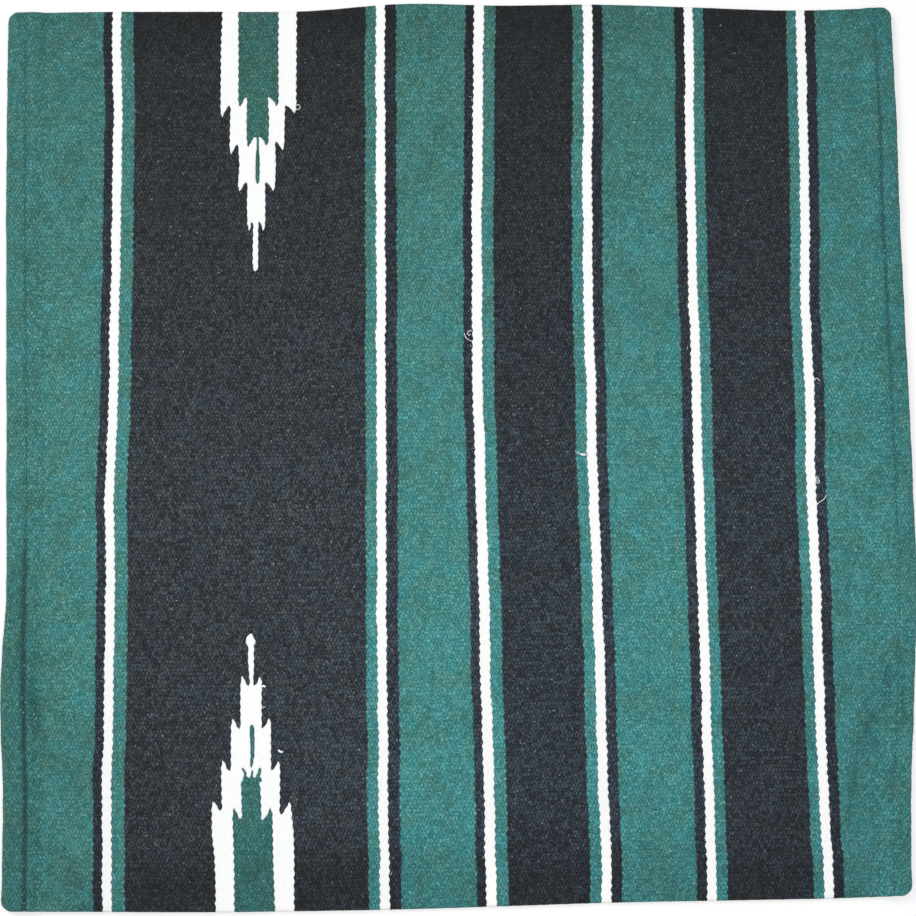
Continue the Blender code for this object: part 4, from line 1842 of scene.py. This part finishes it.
@dataclass
class FigureField:
    """The wide black field with its two stepped figures."""

    shop: Workshop
    columns: Columns
    most_triangles: int = 196000
    snap_reach: float = 0.0016
    first_seed: int = 40
    most_passes: int = 8
    figures: tuple[SteppedFigure, ...] = (TOP_FIGURE, BOTTOM_FIGURE)

    def outlines_of(self, figure: SteppedFigure, white: int) -> list[Outline]:
        """The outlines of a figure in its place on the cloth.

        Args:
            figure: the figure.
            white: the number of its white part, which that of its core follows.

        Returns:
            Its three outlines.
        """
        plan = self.shop.plan
        left, wide = plan.field_lengths[:2]
        middle = left + wide / 2 - plan.half_length + figure.offset
        foot = float(plan.selvedge(np.array([middle]), figure.side)[0])
        core = white + 1
        shapes = zip(figure.outlines(middle, foot), figure.shifts(plan.places))
        parted = zip((white, core, core), (0, white, white), shapes)
        return [Outline(inner, outer, *shape) for inner, outer, shape in parted]

    def build(self) -> list[Object]:
        """Weaves the field and the figures.

        Returns:
            The pieces, with the field first.
        """
        grid = ClothGrid(self.shop.plan, self.columns)
        labels = np.zeros((len(grid.x) - 1, grid.rows - 1), int)
        centres = []
        for each in (grid.x, grid.y):
            middle = (each[:-1] + each[1:]) / 2
            centres.append((middle[:, :-1] + middle[:, 1:]) / 2)
        outlines, pieces = [], [("black_figure_field", Yarn.BLACK)]
        for figure in self.figures:
            outlines += self.outlines_of(figure, len(pieces))
            pieces.append((f"white_figure_{figure.name}", Yarn.WHITE))
            pieces.append((f"green_core_{figure.name}", Yarn.GREEN))
        for each in outlines:
            points = np.stack([centres[0] - (each.shift[:-1] + each.shift[1:]) / 2, centres[1]], -1)
            labels[each.holds(points.reshape(-1, 2)).reshape(labels.shape)] = each.inner
        labels = self.without_corner_contacts(labels)
        self.fit(grid, labels, outlines)
        woven = []
        for label, (name, yarn) in enumerate(pieces):
            shell, seed = grid.shell(labels == label), self.first_seed + label
            woven.append(self.shop.weave(name, shell, yarn, seed, self.most_triangles))
        return woven

    def without_corner_contacts(self, labels: Array) -> Array:
        """Changes single cells until no colour touches itself at a corner alone.

        Args:
            labels: the colour of each cell.

        Returns:
            The changed colours.
        """
        for _ in range(self.most_passes):
            a, b, c, d = labels[:-1, :-1], labels[1:, :-1], labels[:-1, 1:], labels[1:, 1:]
            falling = (a == d) & (b != a) & (c != a)
            rising = (b == c) & (a != b) & (d != b) & ~falling
            if not falling.any() and not rising.any():
                break
            labels = labels.copy()
            i, j = np.nonzero(falling)
            labels[i + 1, j] = labels[i, j]
            i, j = np.nonzero(rising)
            labels[i, j] = labels[i + 1, j]
        return labels

    def fit(self, grid: ClothGrid, labels: Array, outlines: list[Outline]) -> None:
        """Moves the points between two colours onto the outline that parts them.

        Args:
            grid: the cloth, whose points are moved.
            labels: the colour of each cell.
            outlines: all outlines.
        """
        wide = np.pad(labels, 1, mode="edge")
        corners = np.stack([wide[:-1, :-1], wide[1:, :-1], wide[:-1, 1:], wide[1:, 1:]])
        low, high = corners.min(0), corners.max(0)
        start_x, start_y = grid.x.copy(), grid.y.copy()
        for each in outlines:
            c, j = np.nonzero((high == each.inner) & (low == each.outer))
            spot = np.stack([start_x[c, j] - each.shift[j], start_y[c, j]], 1)
            place = each.nearest(spot)
            near = np.linalg.norm(place - spot, axis=1) < self.snap_reach
            grid.x[c[near], j[near]] = place[near, 0] + each.shift[j[near]]
            inner = near & (j > 0) & (j < grid.rows - 1)
            grid.y[c[inner], j[inner]] = place[inner, 1]


@dataclass
class Blanket:
    """The whole cloth, woven from the left hem to the right one."""

    shop: Workshop
    field_names: tuple[str, ...] = (
        "green_border_left",
        "black_figure_field",
        "green_field_left",
        "black_field_middle",
        "green_field_right",
        "black_field_right",
        "green_border_right",
    )
    figure_offset: float = 0.007
    figure_reach: float = 0.038

    def build(self) -> None:
        """Weaves all fields and stripes, each field with the stripes at its right."""
        plan, last = self.shop.plan, len(self.field_names)
        left, right = (Hem(plan, side) for side in Side)
        turned = left.columns(0)
        start = (plan.edge_line(Side.LOW, left.flat_inset), int(turned.pick[-1] + 0.5))
        for number, name in enumerate(self.field_names, 1):
            group = StripeGroup(plan, number)
            line = group.line(0) if number < last else plan.edge_line(Side.HIGH, right.flat_inset)
            length = float(np.mean(line - start[0]))
            end = (line, start[1] + plan.picks_in(length))
            if name == "black_figure_field":
                cloth = FigureField(self.shop, self.figure_columns(start, end)).build()
            else:
                parts = [plan.flat_columns(start, end, toothed=(number > 1, number < last))]
                if number == 1:
                    parts.insert(0, turned)
                if number == last:
                    parts.append(right.columns(end[1]))
                mesh = ClothGrid(plan, Columns.join(parts)).shell()
                cloth = [self.shop.weave(name, mesh, Yarn.GREEN if number % 2 else Yarn.BLACK, number)]
            if number < last:
                stripes, end = self.stripes(group, end)
                cloth += stripes
            start = end
            self.declare(cloth, length + {1: left.path_length, last: right.path_length}.get(number, 0))

    def stripes(self, group: StripeGroup, start: Line) -> tuple[list[Object], Line]:
        """Weaves the three stripes of a group.

        Args:
            group: the group.
            start: the line where it begins and its pick number.

        Returns:
            The stripes, and the line where they end with its pick number.
        """
        plan, made = self.shop.plan, []
        for edge, (yarn, width) in enumerate(zip(group.yarns, group.widths), 1):
            kind = "white_stripe" if yarn is Yarn.WHITE else f"narrow_{yarn.name.lower()}"
            end = (group.line(edge), start[1] + plan.picks_in(width))
            mesh = ClothGrid(plan, plan.flat_columns(start, end, 0.5)).shell()
            seed = 10 * group.number + edge
            made.append(self.shop.weave(f"{kind}_{group.number}", mesh, yarn, seed))
            start = end
        return made, start

    def figure_columns(self, start: Line, end: Line) -> Columns:
        """The wide black field's columns, twice as close where the figures stand.

        Args:
            start: the field's first line and its pick number.
            end: its last line and pick number.

        Returns:
            The columns.
        """
        plan = self.shop.plan
        fine = plan.flat_columns(start, end, 0.5)
        left, wide = plan.field_lengths[:2]
        middle = left + wide / 2 - plan.half_length + self.figure_offset
        near = np.abs(fine.x.mean(axis=1) - middle) < self.figure_reach
        chosen = near | np.isclose((fine.pick - start[1]) % 1, 0.5)
        chosen[[0, -1]] = True
        return fine.take(chosen)

    def declare(self, cloth: list[Object], length: float) -> None:
        """Works out how much of a field's area its let-in figures leave, and does nothing further with it.

        Args:
            cloth: the field, then the figures that are let into it and its stripes.
            length: the field's length across the stripes.
        """
        width = self.shop.plan.width
        figures, area = cloth[1:-3], None
        if figures:
            area = length * width - sum(self.face_area(piece) for piece in figures)

    @staticmethod
    def face_area(piece: Object) -> float:
        """The area of cloth that a piece takes up, as seen from above."""
        return sum(face.area * face.normal.z for face in piece.data.polygons if face.normal.z > 0)


@dataclass
class WarpCords:
    """The cotton warp: a cord in every rib, hidden but for its ends, which stand out of the raw ends."""

    shop: Workshop
    radius: float = 0.0007
    sides: int = 5
    flat_steps: int = 24
    sink_share: float = 0.8

    def build(self) -> None:
        """Lays all the cords as one piece, through every second line of the hems."""
        plan = self.shop.plan
        hems = [Hem(plan, side) for side in Side]
        left, right = (hem.columns(0).take(slice(i, None, 2)) for i, hem in enumerate(hems))
        start, end = (plan.edge_line(hem.side, hem.flat_inset) for hem in hems)
        flat = start + (end - start) * np.linspace(0, 1, self.flat_steps)[:, None]
        tails = [plan.edge_line(hem.side, hem.raw_inset + hem.warp_tail)[None] for hem in hems]
        x = np.concatenate([tails[0], left.x, flat, right.x, tails[1]])
        heights = [
            part.height[:, None] - self.sink_share * part.sink * np.sin(part.facing)[:, None]
            for part in (left, right)
        ]
        low = tails[0] * 0 + hems[0].layer / 2
        z = np.concatenate([low, heights[0], flat * 0 + plan.thick / 2, heights[1], low])
        trim = np.concatenate([[0], left.trim, np.zeros(self.flat_steps), right.trim, [0]])
        floor = plan.selvedge(x[:, 0], Side.LOW) + trim + plan.thick / 2
        roof = plan.selvedge(x[:, -1], Side.HIGH) - trim - plan.thick / 2
        x, z = x[:, 1::2], z[:, 1::2]
        y = floor[:, None] + (roof - floor)[:, None] * plan.spots[1::2]
        lines = np.stack([x, y, z + plan.lift(x, y)], -1).transpose(1, 0, 2)
        piece = new_object("warp_cords", line_mesh("warp_lines", lines))
        values = {"Radius": self.radius, "Sides": self.sides}
        self.shop.finish(piece, self.shop.trees.cords, Yarn.WARP, values, "warp_layer")


@dataclass
class HemStitching:
    """The lock stitches of both hems: a needle thread on the face and a bobbin thread underneath."""

    shop: Workshop
    pitch: float = 0.0042
    length: float = 0.0040
    radius: float = 0.0004
    rise: float = 0.0006
    slant: float = 0.1
    end_inset: float = 0.004

    def build(self) -> None:
        """Sews both hems."""
        for side, place in ((Side.LOW, "left"), (Side.HIGH, "right")):
            hem = Hem(self.shop.plan, side)
            top = hem.over_height + hem.layer / 2 - hem.seam_depth
            self.sew(hem, f"needle_thread_{place}", top - self.radius, self.rise)
            self.sew(hem, f"bobbin_thread_{place}", hem.seam_depth + self.radius, -self.rise)

    def sew(self, hem: Hem, name: str, height: Array, rise: float) -> None:
        """Sews one line of stitches.

        Args:
            hem: the hem that it holds.
            name: the name of the solid thread that it takes the place of.
            height: the height of the line at each row.
            rise: how far the stitches arch above it, or below.
        """
        plan = self.shop.plan
        x = plan.edge_line(hem.side, hem.seam_inset)
        low = plan.selvedge(x[:1], Side.LOW) + self.end_inset
        high = plan.selvedge(x[-1:], Side.HIGH) - self.end_inset
        y = low + (high - low) * plan.spots
        line = np.stack([x, y, height + plan.lift(x, y)], 1)
        piece = new_object(f"{name}_stitches", line_mesh(name, [line]))
        values = {"Pitch": self.pitch, "Length": self.length, "Radius": self.radius}
        values |= {"Rise": rise, "Slant": self.slant}
        self.shop.finish(piece, self.shop.trees.lock_stitches, Yarn.THREAD, values, name)


@dataclass(frozen=True)
class LooseEnd:
    """A single white end or loop that stands out of the cloth, through points in millimetres."""

    points: Points
    is_thick: bool = False
    steps: int = 12
    gap: float = 0.0002
    rise: float = 0.0008

    def line(self, plan: ClothPlan) -> Array:
        """Follows its middle.

        Args:
            plan: the cloth that it lies on.

        Returns:
            The points of its middle line, one row each.
        """
        place = np.linspace(-1, 1, self.steps)
        x, y = (smooth_share(values, place) / 1000 for values in zip(*self.points))
        z = plan.thick + self.gap + plan.lift(x, y) + self.rise * np.cos(place * math.pi / 2)
        return np.column_stack([x, y, z])


LOOSE_ENDS = (
    LooseEnd(
        (
            (-144.8, 312.4), (-144.0, 315.6), (-141.8, 316.2), (-140.4, 314.3), (-141.4, 312.1),
            (-143.8, 311.8),
        )
    ),
    LooseEnd(((14.9, 103.4), (12.9, 103.8), (11.0, 101.6), (12.1, 99.6), (13.9, 100.3))),
    LooseEnd(((8.3, 101.4), (9.4, 97.9), (11.7, 95.5), (14.9, 94.2))),
    LooseEnd(((324.6, 54.5), (326.3, 56.9), (328.3, 56.9), (330.3, 54.8))),
    LooseEnd(
        (
            (323.6, -31.6), (325.6, -34.7), (326.6, -37.2), (324.7, -38.6), (323.9, -36.8),
            (326.1, -35.9),
        )
    ),
    LooseEnd(((323.5, -57.6), (326.1, -55.3), (329.8, -53.0), (332.7, -49.0))),
    LooseEnd(((108.9, -7.5), (110.8, -9.5), (114.0, -10.5), (118.9, -10.2))),
    LooseEnd(((112.2, -9.9), (114.0, -10.5), (115.8, -10.4)), is_thick=True),
    LooseEnd(((-159.6, -269.9), (-158.0, -271.1), (-156.4, -271.3)), is_thick=True),
    LooseEnd(((-174.0, -232.8), (-172.6, -231.9), (-171.6, -231.8))),
    LooseEnd(((-174.4, -213.9), (-173.0, -213.5), (-171.8, -214.1)), is_thick=True),
)


@dataclass
class StrayFibres:
    """Loose wool on the face: lint beside the white stripes and on the dark ones, and single loose ends."""

    shop: Workshop
    ends: tuple[LooseEnd, ...] = LOOSE_ENDS
    strip_half_width: float = 0.003
    strip_overlap: float = 0.0004
    margin: float = 0.006
    first_row: int = 4
    row_step: int = 6
    length: float = 0.0026
    radius: float = 0.00011
    lean: float = 0.25
    knot_radius: float = 0.001
    hair_radius: float = 0.0003
    end_sides: int = 6

    def build(self) -> None:
        """Strews the lint and lays the loose ends."""
        plan = self.shop.plan
        groups = [StripeGroup(plan, number) for number, _ in enumerate(plan.stripes, 1)]
        reach, overlap = self.strip_half_width, self.strip_overlap
        beside = [(group.line(1) - reach, group.line(1) + overlap) for group in groups]
        beside += [(group.line(2) - overlap, group.line(2) + reach) for group in groups]
        dark = [(first.line(3), last.line(0)) for first, last in zip(groups[::2], groups[1::2])]
        self.strew("white_lint", beside, density=6500, size=0.8, seed=3)
        self.strew("pale_lint", dark, density=700, size=0.55, seed=4)
        self.lay_ends("loose_white_knots", True, self.knot_radius)
        self.lay_ends("loose_white_hairs", False, self.hair_radius)

    def strip(self, lines: list[tuple[Array, Array]]) -> Mesh:
        """A mesh over the face between pairs of lines, for the fibres to lie on.

        Args:
            lines: the two sides of each strip, as the x of each row.

        Returns:
            The mesh.
        """
        plan = self.shop.plan
        rows = np.arange(self.first_row, len(plan.places) - self.first_row, self.row_step)
        x = np.stack([np.stack(pair, 1)[rows] for pair in lines])
        y = np.broadcast_to((plan.places[rows] * (plan.width / 2 - self.margin))[:, None], x.shape)
        numbers = np.arange(x.size).reshape(x.shape)
        low, high = numbers[:, :-1], numbers[:, 1:]
        quads = np.stack([low[..., 0], low[..., 1], high[..., 1], high[..., 0]], -1).reshape(-1, 4)
        points = np.stack([x, y, plan.thick + plan.lift(x, y)], -1).reshape(-1, 3)
        return quad_mesh("strip", points, quads)

    def strew(self, name: str, lines: list[tuple], density: float, size: float, seed: int) -> None:
        """Strews white fibres.

        Args:
            name: the piece's name.
            lines: the two sides of each strip that they lie on.
            density: how many lie on a square metre.
            size: their length as a share of the usual one.
            seed: what places them.
        """
        values = {"Density": density, "Length": self.length * size, "Radius": self.radius}
        values |= {"Lean": self.lean, "Seed": seed}
        piece = new_object(name, self.strip(lines))
        self.shop.finish(piece, self.shop.trees.stray_fibres, Yarn.WHITE, values)

    def lay_ends(self, name: str, is_thick: bool, radius: float) -> None:
        """Lays the thick or the thin ones of the ends that show singly.

        Args:
            name: the piece's name.
            is_thick: which of them.
            radius: the radius of their cords.
        """
        lines = [end.line(self.shop.plan) for end in self.ends if end.is_thick is is_thick]
        piece = new_object(name, line_mesh(name, lines))
        values = {"Radius": radius, "Sides": self.end_sides}
        self.shop.finish(piece, self.shop.trees.cords, Yarn.WHITE, values)


@dataclass(frozen=True)
class Studio:
    """The pale floor, the soft light and the camera."""

    floor_half_size: float = 5.0
    floor_height: float = -0.0003
    floor_colour: float = 0.56
    floor_glow: float = 0.465
    world_level: float = 0.53
    lens: float = 65.3
    sensor_width: float = 36
    distance: float = 1.5
    look_at: Colour = (0.0013, -0.0117, 0.0)
    tilt: float = math.radians(6.439)
    yaw: float = math.radians(0.884)
    roll: float = math.radians(-0.653)

    def build(self) -> None:
        """Sets up everything round the blanket."""
        self.floor()
        self.world()
        self.lamp("key", place=(-1.5, 1.3, 1.9), size=1.0, power=25.5)
        self.lamp("flash", place=(0.1, -0.2, 1.25), size=0.45, power=5.85)
        self.camera()
        bpy.context.scene.view_settings.view_transform = "Standard"

    @staticmethod
    def seen_directly(sheet: NodeSheet) -> Value:
        """Tells rays that are looked along from light on its way.

        Args:
            sheet: the sheet of a material or of the world.

        Returns:
            1 for rays from the camera and its reflections, 0 for the rest.
        """
        path = sheet.node("ShaderNodeLightPath")
        shiny = path["Is Glossy Ray"].at_least(path["Is Transmission Ray"])
        return path["Is Camera Ray"].at_least(shiny)

    def floor(self) -> None:
        """Lays the floor, which looks white and keeps the blanket's shadow."""
        signs = np.array([(-1, -1), (1, -1), (1, 1), (-1, 1)])
        points = np.column_stack([signs * self.floor_half_size, np.full(4, self.floor_height)])
        floor = new_object("studio_floor", quad_mesh("studio_floor", points, np.array([[0, 1, 2, 3]])))
        sheet = MaterialSheet("studio_floor")
        inputs = {
            "Base Color": (*[self.floor_colour] * 3, 1),
            "Roughness": 1,
            "Specular IOR Level": 0,
            "Emission Color": (1, 1, 1, 1),
            "Emission Strength": self.seen_directly(sheet) * self.floor_glow,
        }
        floor.data.materials.append(sheet.shade(inputs))

    def world(self) -> None:
        """Fills the room with even light, and shows it white."""
        world = bpy.data.worlds.new("studio_room")
        world.use_nodes = True
        bpy.context.scene.world = world
        sheet = NodeSheet(world.node_tree)
        strength = self.seen_directly(sheet) * (1 - self.world_level) + self.world_level
        sheet.fill(world.node_tree.nodes["Background"], {"Color": (1, 1, 1, 1), "Strength": strength})

    @staticmethod
    def lamp(name: str, place: Colour, size: float, power: float) -> None:
        """Hangs a soft lamp that points at the blanket's middle.

        Args:
            name: its name.
            place: where it hangs.
            size: the length of its sides.
            power: its power in watts.
        """
        data = bpy.data.lights.new(name, "AREA")
        data.shape, data.size, data.energy = "SQUARE", size, power
        lamp = new_object(name, data)
        lamp.location = place
        lamp.visible_camera = False
        lamp.rotation_euler = (-Vector(place)).to_track_quat("-Z", "Y").to_euler()

    def camera(self) -> None:
        """Sets the camera over the blanket, a little towards its lower edge."""
        ahead = math.cos(self.yaw)
        down, along = -math.cos(self.tilt) * ahead, math.sin(self.tilt) * ahead
        forward = Vector((math.sin(self.yaw), along, down))
        right = forward.cross(Vector((0, 1, 0))).normalized()
        up = right.cross(forward)
        c, s = math.cos(self.roll), math.sin(self.roll)
        right, up = c * right + s * up, c * up - s * right
        data = bpy.data.cameras.new("camera")
        data.lens, data.sensor_width = self.lens, self.sensor_width
        camera = new_object("camera", data)
        axes = Matrix((right, up, -forward)).transposed().to_4x4()
        camera.matrix_world = Matrix.Translation(Vector(self.look_at) - forward * self.distance) @ axes
        bpy.context.scene.camera = camera


def main() -> None:
    """Weaves the blanket, sews its hems and sets up the studio."""
    logging.basicConfig(level=logging.INFO, format="%(name)s: %(message)s")
    effects = WoolEffects()
    materials = {finish.yarn: finish.material(effects) for finish in FINISHES}
    shop = Workshop(ClothPlan(), ShapeTrees(), materials)
    Blanket(shop).build()
    WarpCords(shop).build()
    HemStitching(shop).build()
    StrayFibres(shop).build()
    Studio().build()


if __name__ == "__main__":
    main()
